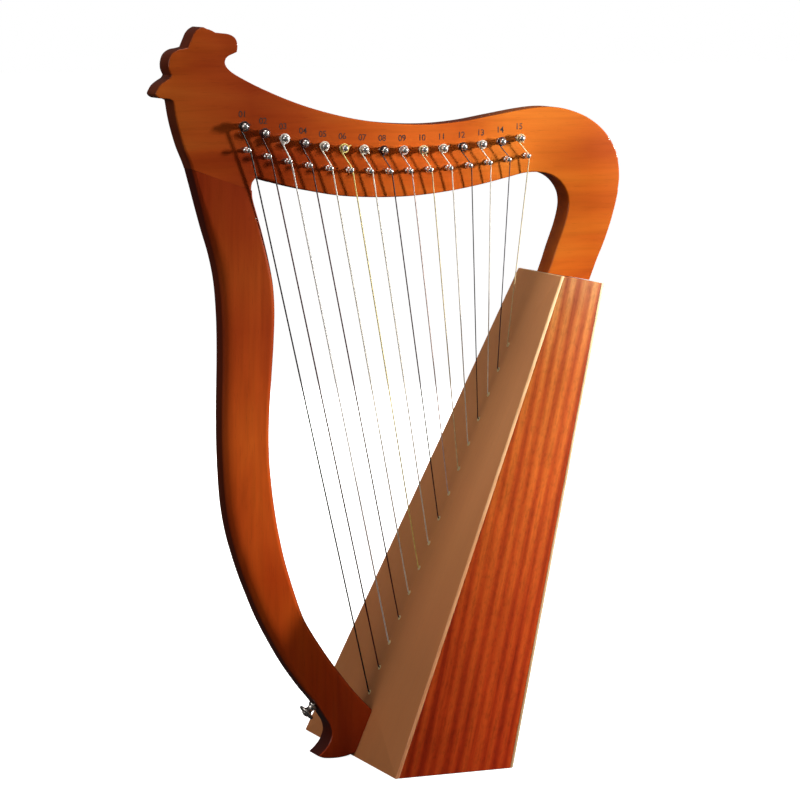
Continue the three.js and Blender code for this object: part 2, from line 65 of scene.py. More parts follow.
NECK_RUNS = [
    [(-169.2, 475.6), (-175.9, 494.2), (-181.0, 512.0), (-184.0, 528.6)],
    [(-184.0, 528.6), (-187.6, 530.3), (-192.0, 530.7), (-196.6, 531.4), (-198.6, 533.8), (-195.0, 540.0), (-190.0, 543.8), (-186.6, 545.9), (-185.4, 548.2)],
    [(-185.4, 548.2), (-187.4, 553.0), (-187.4, 558.6), (-185.3, 563.9), (-180.6, 567.3), (-175.5, 568.3), (-171.6, 569.2)],
    [(-171.6, 569.2), (-169.0, 575.2), (-166.2, 580.7), (-160.6, 585.0), (-155.8, 583.4), (-151.6, 581.6), (-149.4, 580.4)],
    [(-149.4, 580.4), (-144.1, 579.8), (-139.2, 579.2), (-135.7, 577.9), (-133.1, 575.8), (-131.8, 572.9), (-131.4, 569.6), (-132.0, 565.6)],
    [(-132.0, 565.6), (-135.4, 564.2), (-138.6, 562.8), (-140.8, 561.0), (-141.9, 557.9), (-141.1, 554.8), (-138.4, 551.5), (-133.9, 548.2), (-128.3, 545.0), (-115.6, 538.6), (-96.9, 530.3),
     (-76.4, 522.7), (-54.9, 516.4), (-33.2, 511.5), (-11.3, 508.2), (10.6, 506.4), (34.2, 506.0), (60.9, 508.1), (87.8, 512.4),
     (114.8, 516.6), (131.5, 518.0), (145.0, 517.1), (158.0, 513.8), (170.2, 508.6), (182.4, 499.8), (191.2, 488.9), (196.8, 476.5),
     (198.7, 461.2), (196.7, 446.0), (192.0, 428.0), (186.6, 412.4), (181.2, 399.4), (172.3, 377.1)],
    [(134.9, 384.2), (144.2, 408.8), (149.6, 423.4), (152.7, 435.6), (153.1, 441.6), (152.3, 447.2), (149.6, 453.2), (144.4, 459.4),
     (137.3, 463.9), (129.5, 466.0), (121.0, 466.5), (113.0, 465.9), (100.9, 463.3), (83.5, 459.4), (66.0, 456.0), (50.0, 453.5),
     (33.0, 451.5), (12.4, 450.0), (-9.5, 449.8), (-31.2, 450.7), (-49.7, 452.5), (-66.0, 455.3), (-84.0, 459.1), (-101.0, 463.6), (-116.4, 468.0)],
    [(-116.4, 468.0), (-119.2, 463.2), (-119.9, 457.7)],
]
PILLAR_RUNS = [
    [(-119.8, 457.1), (-119.5, 451.0), (-112.4, 424.9), (-106.5, 401.0), (-103.2, 383.0), (-102.0, 364.0), (-102.7, 340.0),
     (-104.6, 312.0), (-106.6, 283.0), (-107.2, 262.0), (-106.8, 244.0), (-105.4, 227.0), (-103.4, 210.0), (-100.2, 190.0),
     (-94.6, 164.4), (-87.6, 141.0), (-80.2, 119.6), (-76.2, 110.8), (-63.6, 90.5), (-51.8, 73.6), (-37.0, 55.0), (-19.3, 36.9)],
    [(-34.2, 2.8), (-40.5, 0.9), (-47.5, 0.0), (-54.5, 0.0), (-61.5, 0.9), (-65.6, 2.6)],
    [(-65.6, 2.6), (-60.6, 7.0), (-56.8, 11.6), (-54.2, 17.4), (-53.8, 22.0), (-55.4, 27.6)],
    [(-55.4, 27.6), (-60.0, 35.0), (-66.0, 45.2), (-74.6, 56.6), (-89.9, 78.2), (-104.8, 104.0), (-113.2, 121.0), (-119.6, 136.4),
     (-124.8, 149.6), (-130.4, 166.0), (-136.6, 188.0), (-140.4, 210.0), (-142.4, 236.0), (-143.3, 262.0), (-143.2, 290.0),
     (-142.4, 320.0), (-142.3, 345.0), (-143.0, 366.0), (-145.0, 388.0), (-149.2, 408.4), (-155.2, 428.2), (-160.0, 445.2),
     (-167.6, 470.2), (-169.0, 475.0)],
]
BUTTON_AT, BUTTON_DIR = (-64.9, 42.6), (-0.767, -0.642)

# ------------------------------------------------------------------ camera, where the photograph was taken from
AZ, EL, FOCAL_PX, DIST = math.radians(-22.74), math.radians(7.29), 3645.6, 2.9235
TARGET = Vector((0.00965, 0.0, 0.28547))
cam_data = bpy.data.cameras.new("camera")
cam_data.sensor_width = 36.0
cam_data.lens = FOCAL_PX / 800.0 * 36.0
cam_data.clip_end = 50.0
cam = bpy.data.objects.new("camera", cam_data)
bpy.context.scene.collection.objects.link(cam)
cam.location = TARGET + Vector((math.sin(AZ) * math.cos(EL), -math.cos(AZ) * math.cos(EL), math.sin(EL))) * DIST
cam.rotation_euler = (TARGET - cam.location).to_track_quat("-Z", "Y").to_euler()
bpy.context.scene.camera = cam


# ------------------------------------------------------------------ curve and outline helpers
def catmull(points, step):
    """The centripetal spline through points, about step mm apart."""
    p = [np.array(q, float) for q in points]
    p = [2 * p[0] - p[1]] + p + [2 * p[-1] - p[-2]]
    out = []
    for i in range(1, len(p) - 2):
        a, b, c, d = p[i - 1], p[i], p[i + 1], p[i + 2]
        d0, d1, d2 = (max(np.sum((v - u) ** 2), 1e-8) ** 0.25 for u, v in ((a, b), (b, c), (c, d)))
        t1 = ((b - a) / d0 - (c - a) / (d0 + d1) + (c - b) / d1) * d1
        t2 = ((c - b) / d1 - (d - b) / (d1 + d2) + (d - c) / d2) * d1
        n = max(2, int(math.ceil(np.linalg.norm(c - b) / step)))
        for k in range(n):
            t = k / n
            out.append(b + t1 * t + (-3 * b + 3 * c - 2 * t1 - t2) * t * t + (2 * b - 2 * c + t1 + t2) * t ** 3)
    out.append(p[-2])
    return out


def outline(runs, step=1.6):
    pts = []
    for run in runs:
        for q in (catmull(run, step) if len(run) > 2 else [np.array(r, float) for r in run]):
            if not pts or np.linalg.norm(pts[-1] - q) > 0.05:
                pts.append(q)
    if np.linalg.norm(pts[0] - pts[-1]) < 0.05:
        pts.pop()
    return np.array(pts)


def area2(p):
    x, y = p[:, 0], p[:, 1]
    return 0.5 * np.sum(x * np.roll(y, -1) - y * np.roll(x, -1))


def inward(p):
    """Mitred inward normals of a counter-clockwise loop."""
    e = np.roll(p, -1, 0) - p
    e /= np.linalg.norm(e, axis=1)[:, None]
    n = np.stack([-e[:, 1], e[:, 0]], 1)
    prev = np.roll(n, 1, 0)
    m = n + prev
    m /= np.maximum(np.linalg.norm(m, axis=1), 1e-6)[:, None]
    c = np.clip(np.sum(m * n, 1), 0.5, 1.0)
    return m / c[:, None]


def new_object(name, mesh, mats):
    for m in mats:
        mesh.materials.append(m)
    o = bpy.data.objects.new(name, mesh)
    bpy.context.scene.collection.objects.link(o)
    return o


def finish_mesh(bm, name, mats, sharp=34.0, merge=0.0):
    if merge:
        bmesh.ops.remove_doubles(bm, verts=bm.verts, dist=merge)
    bmesh.ops.recalc_face_normals(bm, faces=bm.faces)
    lim = math.radians(sharp)
    for e in bm.edges:
        e.smooth = not (len(e.link_faces) != 2 or e.calc_face_angle(0.0) > lim)
    for f in bm.faces:
        f.smooth = True
    me = bpy.data.meshes.new(name)
    bm.to_mesh(me)
    bm.free()
    return new_object(name, me, mats)


def plate(name, front, back, to3d, d0, d1, mats, round_front=0.6, round_back=0.6, holes=(), k=4, edge_slot=0, sharp=34.0, cuts=(), depth=None):
    """A board between two 2-D loops of the same length, at depth d0 and d1, with rounded edges and round holes.
    round_* may be one radius or one per point. holes: (centre2d_front, centre2d_back, radius, sides).
    cuts: sawn ends (corner, corner) that stay square, so the rounding of the long edges runs out through them.
    depth: how deep the rounding goes through the thickness, if not as deep as it is wide."""
    front, back = np.array(front, float), np.array(back, float)
    if area2(front) < 0:
        front, back = front[::-1], back[::-1]
        if not np.isscalar(round_front):
            round_front = np.array(round_front)[::-1]
        if not np.isscalar(round_back):
            round_back = np.array(round_back)[::-1]
        if depth is not None:
            depth = np.array(depth)[::-1]
    n = len(front)
    rf = np.full(n, round_front) if np.isscalar(round_front) else np.array(round_front)
    rb = np.full(n, round_back) if np.isscalar(round_back) else np.array(round_back)
    nf, nb = inward(front), inward(back)
    for a, b in cuts:
        for p, q in ((a, b), (b, a)):
            i = int(np.argmin(np.linalg.norm(front - np.array(p), axis=1)))
            t = np.array(q, float) - np.array(p, float)
            nf[i] = nb[i] = t / np.linalg.norm(t)
    sgn = 1.0 if d1 > d0 else -1.0
    bm = bmesh.new()
    lay = bm.verts.layers.float.new("edge")
    rings = []
    for j in range(k + 1):
        a = math.pi / 2 * j / k
        ring = []
        for i in range(n):
            q = front[i] + nf[i] * rf[i] * (1 - math.sin(a))
            v = bm.verts.new(to3d(q, d0 + sgn * (rf if depth is None else depth)[i] * (1 - math.cos(a))))
            v[lay] = j / k
            ring.append(v)
        rings.append(ring)
    for j in range(k, -1, -1):
        a = math.pi / 2 * j / k
        ring = []
        for i in range(n):
            q = back[i] + nb[i] * rb[i] * (1 - math.sin(a))
            v = bm.verts.new(to3d(q, d1 - sgn * (rb if depth is None else depth)[i] * (1 - math.cos(a))))
            v[lay] = j / k
            ring.append(v)
        rings.append(ring)
    for r0, r1 in zip(rings[:-1], rings[1:]):
        for i in range(n):
            f = bm.faces.new((r0[i], r0[(i + 1) % n], r1[(i + 1) % n], r1[i]))
            f.material_index = edge_slot
    loops = []
    for cf, cb, r, m in holes:
        pair = []
        for c, d in ((cf, d0), (cb, d1)):
            pair.append([bm.verts.new(to3d(np.array(c) + r * np.array((math.cos(2 * math.pi * t / m), math.sin(2 * math.pi * t / m))), d)) for t in range(m)])
        loops.append(pair)
        for t in range(m):
            f = bm.faces.new((pair[0][t], pair[0][(t + 1) % m], pair[1][(t + 1) % m], pair[1][t]))
            f.material_index = edge_slot
    bm.edges.index_update()
    for side, ring in ((0, rings[0]), (1, rings[-1])):
        edges = []
        for lp in [ring] + [q[side] for q in loops]:
            for t in range(len(lp)):
                e = bm.edges.get((lp[t], lp[(t + 1) % len(lp)])) or bm.edges.new((lp[t], lp[(t + 1) % len(lp)]))
                edges.append(e)
        res = bmesh.ops.triangle_fill(bm, edges=edges, use_beauty=True, use_dissolve=False)
        for g in res["geom"]:
            if isinstance(g, bmesh.types.BMFace):
                g.material_index = 0
    return finish_mesh(bm, name, mats, sharp=sharp)


def lathe(profile, sides, at, axis, name, mats, sharp=40.0):
    """Closed turned piece: (radius, height) from the axis back to the axis, or a closed ring."""
    axis = Vector(axis).normalized()
    u = axis.orthogonal().normalized()
    v = axis.cross(u)
    at = Vector(at)
    bm = bmesh.new()
    rings = []
    for r, h in profile:
        if r < 1e-6:
            rings.append([bm.verts.new((at + axis * h) * MM)])
        else:
            rings.append([bm.verts.new((at + axis * h + (u * math.cos(2 * math.pi * i / sides) + v * math.sin(2 * math.pi * i / sides)) * r) * MM) for i in range(sides)])
    for a, b in zip(rings[:-1], rings[1:]):
        for i in range(sides):
            j = (i + 1) % sides
            if len(a) == 1 and len(b) == 1:
                break
            if len(a) == 1:
                bm.faces.new((a[0], b[j], b[i]))
            elif len(b) == 1:
                bm.faces.new((a[i], a[j], b[0]))
            else:
                bm.faces.new((a[i], a[j], b[j], b[i]))
    if len(rings[0]) > 1:       # ring: join last to first
        a, b = rings[-1], rings[0]
        for i in range(sides):
            j = (i + 1) % sides
            bm.faces.new((a[i], a[j], b[j], b[i]))
    return finish_mesh(bm, name, mats, sharp=sharp)


def arc(r0, h0, r1, h1, n, bulge):
    """Points between two profile points on a bulged arc, ends left out."""
    out = []
    dx, dy = r1 - r0, h1 - h0
    for i in range(1, n):
        t = i / n
        b = 4 * t * (1 - t) * bulge
        out.append((r0 + dx * t + dy * b, h0 + dy * t - dx * b))
    return out


def sweep(points, radii, sides, name, mats, cap=True, squash=None):
    """A tube along points, turning as little as it can."""
    pts = [Vector(p) for p in points]
    n = len(pts)
    tang = []
    for i in range(n):
        a, b = pts[max(0, i - 1)], pts[min(n - 1, i + 1)]
        tang.append((b - a).normalized())
    u = tang[0].orthogonal().normalized()
    bm = bmesh.new()
    rings = []
    for i in range(n):
        if i:
            q = tang[i - 1].rotation_difference(tang[i])
            u = (q @ u)
        u = (u - tang[i] * u.dot(tang[i])).normalized()
        v = tang[i].cross(u)
        r = radii[i] if not np.isscalar(radii) else radii
        rings.append([bm.verts.new((pts[i] + (u * math.cos(2 * math.pi * t / sides) + v * math.sin(2 * math.pi * t / sides)) * r) * MM) for t in range(sides)])
    for a, b in zip(rings[:-1], rings[1:]):
        for t in range(sides):
            bm.faces.new((a[t], a[(t + 1) % sides], b[(t + 1) % sides], b[t]))
    if cap:
        bm.faces.new(rings[0][::-1])
        bm.faces.new(rings[-1])
    return finish_mesh(bm, name, mats, sharp=50.0)


# ------------------------------------------------------------------ materials
def nodes_of(name):
    m = bpy.data.materials.new(name)
    m.use_nodes = True
    nt = m.node_tree
    nt.nodes.clear()
    out = nt.nodes.new("ShaderNodeOutputMaterial")
    bsdf = nt.nodes.new("ShaderNodeBsdfPrincipled")
    nt.links.new(bsdf.outputs[0], out.inputs[0])
    return m, nt, bsdf


def srgb(r, g, b):
    f = lambda c: (c / 255 / 12.92) if c / 255 <= 0.04045 else ((c / 255 + 0.055) / 1.055) ** 2.4
    return (f(r), f(g), f(b), 1.0)


def mapped(nt, scale, rot=(0, 0, 0), loc=(0, 0, 0)):
    tc = nt.nodes.new("ShaderNodeTexCoord")
    r = nt.nodes.new("ShaderNodeMapping")
    r.vector_type = "POINT"
    r.inputs["Rotation"].default_value = rot
    nt.links.new(tc.outputs["Object"], r.inputs["Vector"])
    s = nt.nodes.new("ShaderNodeMapping")
    s.inputs["Scale"].default_value = scale
    s.inputs["Location"].default_value = loc
    nt.links.new(r.outputs[0], s.inputs["Vector"])
    return s.outputs[0]


def noise(nt, vec, scale=1.0, detail=4.0, rough=0.55, dist=0.0):
    n = nt.nodes.new("ShaderNodeTexNoise")
    n.inputs["Scale"].default_value = scale
    n.inputs["Detail"].default_value = detail
    n.inputs["Roughness"].default_value = rough
    n.inputs["Distortion"].default_value = dist
    nt.links.new(vec, n.inputs["Vector"])
    return n.outputs["Fac"]


def ramp(nt, fac, stops, interp="LINEAR"):
    r = nt.nodes.new("ShaderNodeValToRGB")
    r.color_ramp.interpolation = interp
    els = r.color_ramp.elements
    while len(els) > 1:
        els.remove(els[-1])
    els[0].position = stops[0][0]
    els[0].color = stops[0][1]
    for p, c in stops[1:]:
        e = els.new(p)
        e.color = c
    nt.links.new(fac, r.inputs[0])
    return r.outputs[0]


def g(v):
    return (v, v, v, 1.0)


def mix(nt, a, b, fac, mode="MIX"):
    m = nt.nodes.new("ShaderNodeMix")
    m.data_type = "RGBA"
    m.blend_type = mode
    for sock, val in ((m.inputs[0], fac), (m.inputs[6], a), (m.inputs[7], b)):
        if isinstance(val, (int, float)):
            sock.default_value = val
        elif isinstance(val, tuple):
            sock.default_value = val
        else:
            nt.links.new(val, sock)
    return m.outputs[2]


def math_node(nt, op, a, b=None):
    m = nt.nodes.new("ShaderNodeMath")
    m.operation = op
    for i, val in enumerate((a, b)):
        if val is None:
            continue
        if isinstance(val, (int, float)):
            m.inputs[i].default_value = val
        else:
            nt.links.new(val, m.inputs[i])
    return m.outputs[0]


def bump(nt, bsdf, height, strength=0.1, distance=0.0003, into="Normal"):
    b = nt.nodes.new("ShaderNodeBump")
    b.inputs["Strength"].default_value = strength
    b.inputs["Distance"].default_value = distance
    nt.links.new(height, b.inputs["Height"])
    nt.links.new(b.outputs[0], bsdf.inputs[into])


def lacquered(name, light, mid, dark, rot, edge_stain_and_shade, painted_light_ramp, coat=0.5, scale=1.0):
    """Stained board under gloss lacquer, with painted light and shade multiplied in along one axis and on the rounded
    edges. Grain runs along the rotated X axis.
    """
    m, nt, b = nodes_of(name)
    broad = noise(nt, mapped(nt, (5 * scale, 30 * scale, 30 * scale), rot), 1.0, 3, 0.5, 0.6)
    streak = noise(nt, mapped(nt, (14 * scale, 260 * scale, 260 * scale), rot, (3, 1, 2)), 1.0, 5, 0.6, 0.3)
    pores = noise(nt, mapped(nt, (90 * scale, 1500 * scale, 1500 * scale), rot, (7, 3, 1)), 1.0, 2, 0.5)
    blotch = noise(nt, mapped(nt, (9, 9, 9), rot, (1, 5, 9)), 1.0, 2, 0.5)
    base = ramp(nt, broad, [(0.30, dark), (0.48, mid), (0.70, light)])
    st = ramp(nt, streak, [(0.30, g(0.80)), (0.50, g(1.0)), (0.72, g(1.10))])
    col = mix(nt, base, st, 0.55, "MULTIPLY")
    bl = ramp(nt, blotch, [(0.3, g(0.88)), (0.7, g(1.08))])
    col = mix(nt, col, bl, 0.6, "MULTIPLY")
    po = ramp(nt, pores, [(0.27, g(0.55)), (0.36, g(1.0))])
    col = mix(nt, col, po, 0.35, "MULTIPLY")
    # painted light and shade: the colour is multiplied by a ramp along one axis, fitted to how the lamps fall off
    # along the piece and to the soundbox's shadow on the lower pillar, with a little darker stain tone towards the
    # head and the foot
    grad = nt.nodes.new("ShaderNodeMapRange")
    tc = nt.nodes.new("ShaderNodeTexCoord")
    sep = nt.nodes.new("ShaderNodeSeparateXYZ")
    nt.links.new(tc.outputs["Object"], sep.inputs[0])
    nt.links.new(sep.outputs[painted_light_ramp[0]], grad.inputs[0])
    grad.inputs[1].default_value, grad.inputs[2].default_value = painted_light_ramp[1], painted_light_ramp[2]
    tn = ramp(nt, grad.outputs[0], painted_light_ramp[3])
    col = mix(nt, col, tn, 1.0, "MULTIPLY")
    at = nt.nodes.new("ShaderNodeAttribute")
    at.attribute_name = "edge"
    eg = ramp(nt, at.outputs["Fac"], [(0.35, g(0.0)), (1.0, g(1.0))])
    stained_shaded_edge = ramp(nt, grad.outputs[0], edge_stain_and_shade)      # the rounded edges are darkened: partly a darker stain on the sawn edge, partly painted shade for the side strips, by an amount that follows the ramp axis
    col = mix(nt, col, mix(nt, col, stained_shaded_edge, 1.0, "MULTIPLY"), eg)
    nt.links.new(col, b.inputs["Base Color"])
    rr = ramp(nt, streak, [(0.3, g(0.42)), (0.7, g(0.52))])
    nt.links.new(rr, b.inputs["Roughness"])
    b.inputs["Specular IOR Level"].default_value = 0.05
    b.inputs["Coat Weight"].default_value = coat
    b.inputs["Coat Roughness"].default_value = 0.07
    b.inputs["IOR"].default_value = 1.5
    h = math_node(nt, "ADD", math_node(nt, "MULTIPLY", pores, 0.6), streak)
    bump(nt, b, h, 0.12, 0.00025)
    wav = noise(nt, mapped(nt, (45, 45, 45), rot), 1.0, 2, 0.5)
    bump(nt, b, wav, 0.05, 0.0008, "Coat Normal")
    return m


def ribbon(name, light, mid, dark, lean, offset, fade=True, coat=0.5):
    """Ribbon-striped mahogany: straight bands along the board, each made of short fine streaks. With fade, painted
    light is multiplied in up the panel's height.
    """
    m, nt, b = nodes_of(name)
    rot = (0, lean, 0)
    wave = nt.nodes.new("ShaderNodeTexWave")
    wave.wave_type = "BANDS"
    wave.bands_direction = "X"
    wave.inputs["Scale"].default_value = 1.0
    wave.inputs["Distortion"].default_value = 4.2
    wave.inputs["Detail"].default_value = 1.0
    wave.inputs["Detail Scale"].default_value = 0.55
    nt.links.new(mapped(nt, (31.0, 5.0, 1.6), rot, offset), wave.inputs["Vector"])
    wide = noise(nt, mapped(nt, (88, 20, 2.2), rot, offset), 1.0, 3.0, 0.55)
    fine = noise(nt, mapped(nt, (560, 120, 13), rot, offset), 1.0, 5, 0.65, 0.1)
    fleck = noise(nt, mapped(nt, (430, 200, 190), rot, offset), 1.0, 3, 0.62)
    cross = noise(nt, mapped(nt, (40, 20, 26), rot, offset), 1.0, 3, 0.55)
    fac = math_node(nt, "ADD", math_node(nt, "MULTIPLY", wave.outputs["Fac"], 0.28), math_node(nt, "MULTIPLY", wide, 0.72))
    base = ramp(nt, fac, [(0.30, dark), (0.47, mid), (0.66, light)])
    f = ramp(nt, fine, [(0.28, g(0.74)), (0.5, g(1.0)), (0.72, g(1.16))])
    col = mix(nt, base, f, 0.7, "MULTIPLY")
    fl = ramp(nt, fleck, [(0.32, g(0.62)), (0.48, g(1.0)), (0.66, g(1.18))])
    col = mix(nt, col, fl, 0.45, "MULTIPLY")
    cr = ramp(nt, cross, [(0.3, g(0.84)), (0.7, g(1.12))])
    col = mix(nt, col, cr, 0.6, "MULTIPLY")
    # painted light: the colour is multiplied by a ramp up the panel's height, darker at the bottom and paling towards
    # the top, where the lamps fall on it
    if fade:
        tc = nt.nodes.new("ShaderNodeTexCoord")
        sep = nt.nodes.new("ShaderNodeSeparateXYZ")
        nt.links.new(tc.outputs["Object"], sep.inputs[0])
        mr = nt.nodes.new("ShaderNodeMapRange")
        mr.inputs[1].default_value, mr.inputs[2].default_value = 0.0, 0.385
        nt.links.new(sep.outputs[2], mr.inputs[0])
        tn = ramp(nt, mr.outputs[0], SIDE_PAINTED_LIGHT)
        col = mix(nt, col, tn, 1.0, "MULTIPLY")
    nt.links.new(col, b.inputs["Base Color"])
    rr = ramp(nt, fine, [(0.3, g(0.40)), (0.7, g(0.52))])
    nt.links.new(rr, b.inputs["Roughness"])
    b.inputs["Specular IOR Level"].default_value = 0.10
    b.inputs["Coat Weight"].default_value = coat
    b.inputs["Coat Roughness"].default_value = 0.10
    h = math_node(nt, "ADD", fine, math_node(nt, "MULTIPLY", fleck, 0.5))
    bump(nt, b, h, 0.12, 0.00025)
    return m


# painted light up the side panels: darker at the bottom, paler towards the top
SIDE_PAINTED_LIGHT = [(0.0, (0.86, 0.42, 0.36, 1)), (0.30, (0.92, 0.58, 0.48, 1)), (0.60, (0.98, 0.92, 0.82, 1)), (0.80, (0.90, 1.08, 1.15, 1)), (0.92, (0.88, 1.45, 2.3, 1)), (1.0, (0.92, 2.1, 5.0, 1))]


def satin_wood(name, light, mid, dark, rot, roughness=(0.5, 0.62), fine_amt=0.5, coat=0.0, band=(40, 40, 3), offset=(0, 0, 0), painted_light_ramp=None):
    """Plain board; grain runs along the rotated Z axis. The last argument multiplies in painted light up the board's
    height.
    """
    m, nt, b = nodes_of(name)
    broad = noise(nt, mapped(nt, band, rot, offset), 1.0, 3, 0.5, 0.3)
    fine = noise(nt, mapped(nt, (700, 700, 12), rot, offset), 1.0, 5, 0.65, 0.2)
    dots = noise(nt, mapped(nt, (1300, 1300, 90), rot, offset), 1.0, 2, 0.5)
    base = ramp(nt, broad, [(0.32, dark), (0.5, mid), (0.68, light)])
    f = ramp(nt, fine, [(0.28, g(0.80)), (0.5, g(1.0)), (0.72, g(1.10))])
    col = mix(nt, base, f, fine_amt, "MULTIPLY")
    dd = ramp(nt, dots, [(0.28, g(0.7)), (0.38, g(1.0))])
    col = mix(nt, col, dd, 0.3, "MULTIPLY")
    # painted light: the colour is multiplied by a ramp up the height
    if painted_light_ramp:
        tc = nt.nodes.new("ShaderNodeTexCoord")
        sep = nt.nodes.new("ShaderNodeSeparateXYZ")
        nt.links.new(tc.outputs["Object"], sep.inputs[0])
        mr = nt.nodes.new("ShaderNodeMapRange")
        mr.inputs[1].default_value, mr.inputs[2].default_value = 0.0, 0.385
        nt.links.new(sep.outputs[2], mr.inputs[0])
        col = mix(nt, col, ramp(nt, mr.outputs[0], painted_light_ramp), 1.0, "MULTIPLY")
    nt.links.new(col, b.inputs["Base Color"])
    rr = ramp(nt, fine, [(0.3, g(roughness[0])), (0.7, g(roughness[1]))])
    nt.links.new(rr, b.inputs["Roughness"])
    b.inputs["Coat Weight"].default_value = coat
    b.inputs["Coat Roughness"].default_value = 0.3
    bump(nt, b, fine, 0.18, 0.0002)
    return m


def metal(name, col, rough, scale=900.0, spread=0.08, metallic=1.0):
    m, nt, b = nodes_of(name)
    n1 = noise(nt, mapped(nt, (scale, scale, scale)), 1.0, 3, 0.6)
    n2 = noise(nt, mapped(nt, (scale * 0.12,) * 3), 1.0, 2, 0.5)
    c = ramp(nt, n2, [(0.3, tuple(x * 0.86 for x in col[:3]) + (1,)), (0.7, col)])
    nt.links.new(c, b.inputs["Base Color"])
    b.inputs["Metallic"].default_value = metallic
    rr = ramp(nt, n1, [(0.3, g(rough)), (0.7, g(rough + spread))])
    nt.links.new(rr, b.inputs["Roughness"])
    bump(nt, b, n1, 0.06, 0.00005)
    return m


def string_mat(name, col, metallic=0.0, rough=0.35, wound=0.0):
    m, nt, b = nodes_of(name)
    v = mapped(nt, (300, 300, 300))
    n = noise(nt, v, 1.0, 2, 0.5)
    c = ramp(nt, n, [(0.3, tuple(x * 0.82 for x in col[:3]) + (1,)), (0.7, tuple(min(1, x * 1.08) for x in col[:3]) + (1,))])
    nt.links.new(c, b.inputs["Base Color"])
    b.inputs["Metallic"].default_value = metallic
    rr = ramp(nt, n, [(0.3, g(rough)), (0.7, g(rough + 0.1))])
    nt.links.new(rr, b.inputs["Roughness"])
    if wound:
        w = nt.nodes.new("ShaderNodeTexWave")
        w.wave_type = "BANDS"
        w.bands_direction = "Z"
        w.inputs["Scale"].default_value = 1.0
        nt.links.new(mapped(nt, (800, 800, 800)), w.inputs["Vector"])
        bump(nt, b, w.outputs["Fac"], 0.5, 0.0001)
    else:
        bump(nt, b, n, 0.05, 0.00005)
    return m


ROT_NECK = (0, 0, 0)
ROT_PILLAR = (0, math.radians(90), 0)
LEAN = math.atan2(BOX_C[0] - BOX_A[0], BOX_C[1] - BOX_A[1])      # lean of the soundboard from upright

# neck and pillar: the first ramp darkens the rounded edges (darker stain and painted shade), the second multiplies in
# painted light and shade along the piece
M_NECK = lacquered("neck_lacquer", srgb(216, 112, 40), srgb(205, 96, 30), srgb(184, 78, 22), ROT_NECK,
                   [(0.0, (0.27, 0.23, 0.30, 1)), (0.5, (0.30, 0.25, 0.27, 1)), (0.72, (0.42, 0.36, 0.40, 1)), (0.84, (0.82, 0.68, 0.72, 1)), (1.0, (0.82, 0.68, 0.72, 1))],
                   (0, -0.20, 0.20, [(0.0, (0.85, 0.85, 0.8, 1)), (0.09, (0.74, 0.60, 0.58, 1)), (0.20, (0.50, 0.30, 0.25, 1)), (0.30, (0.60, 0.38, 0.30, 1)), (0.41, (0.87, 0.70, 0.55, 1)),
                                     (0.525, (1.16, 1.04, 0.86, 1)), (0.64, (1.06, 1.0, 0.84, 1)), (0.745, (1.22, 1.60, 1.45, 1)), (0.83, (1.0, 1.2, 0.9, 1)), (0.93, (0.80, 0.80, 0.36, 1)), (1.0, (0.78, 0.76, 0.34, 1))]))
M_PILLAR = lacquered("pillar_lacquer", srgb(206, 96, 30), srgb(194, 82, 25), srgb(170, 66, 19), ROT_PILLAR,
                     [(0.0, (0.17, 0.14, 0.18, 1)), (0.35, (0.14, 0.13, 0.15, 1)), (0.57, (0.13, 0.10, 0.10, 1)), (0.68, (0.21, 0.19, 0.16, 1)), (0.81, (0.27, 0.22, 0.25, 1)), (1.0, (0.19, 0.16, 0.22, 1))],
                     (2, 0.0, 0.48, [(0.0, (0.78, 0.50, 0.48, 1)), (0.14, (0.84, 0.60, 0.56, 1)), (0.245, (1.06, 0.90, 0.70, 1)), (0.31, (1.04, 0.76, 0.60, 1)), (0.375, (1.22, 1.05, 0.98, 1)), (0.46, (1.24, 1.18, 1.05, 1)),
                                    (0.54, (1.34, 1.38, 1.3, 1)), (0.625, (1.18, 1.10, 1.12, 1)), (0.725, (0.90, 0.76, 0.86, 1)), (0.81, (0.84, 0.84, 0.9, 1)), (0.885, (0.67, 0.53, 0.54, 1)), (0.97, (0.55, 0.36, 0.42, 1))]))
# soundboard face: painted light, darker at the bottom and brighter towards the top, which also lifts the neck's shadow
# near the top
M_BOARD = satin_wood("soundboard_face", srgb(204, 138, 90), srgb(201, 135, 87), srgb(197, 131, 84), (0, -LEAN, 0), (0.5, 0.6), 0.22, 0.0, (26, 26, 2.0),
                     painted_light_ramp=[(0.0, (0.86, 0.78, 0.66, 1)), (0.2, (0.86, 0.80, 0.68, 1)), (0.3, (0.98, 0.90, 0.79, 1)), (0.44, (1.07, 1.03, 0.90, 1)), (0.55, (1.17, 1.13, 1.04, 1)),
                           (0.7, (1.20, 1.22, 1.17, 1)), (0.85, (1.12, 1.13, 1.10, 1)), (1.0, (1.24, 1.28, 1.28, 1))])
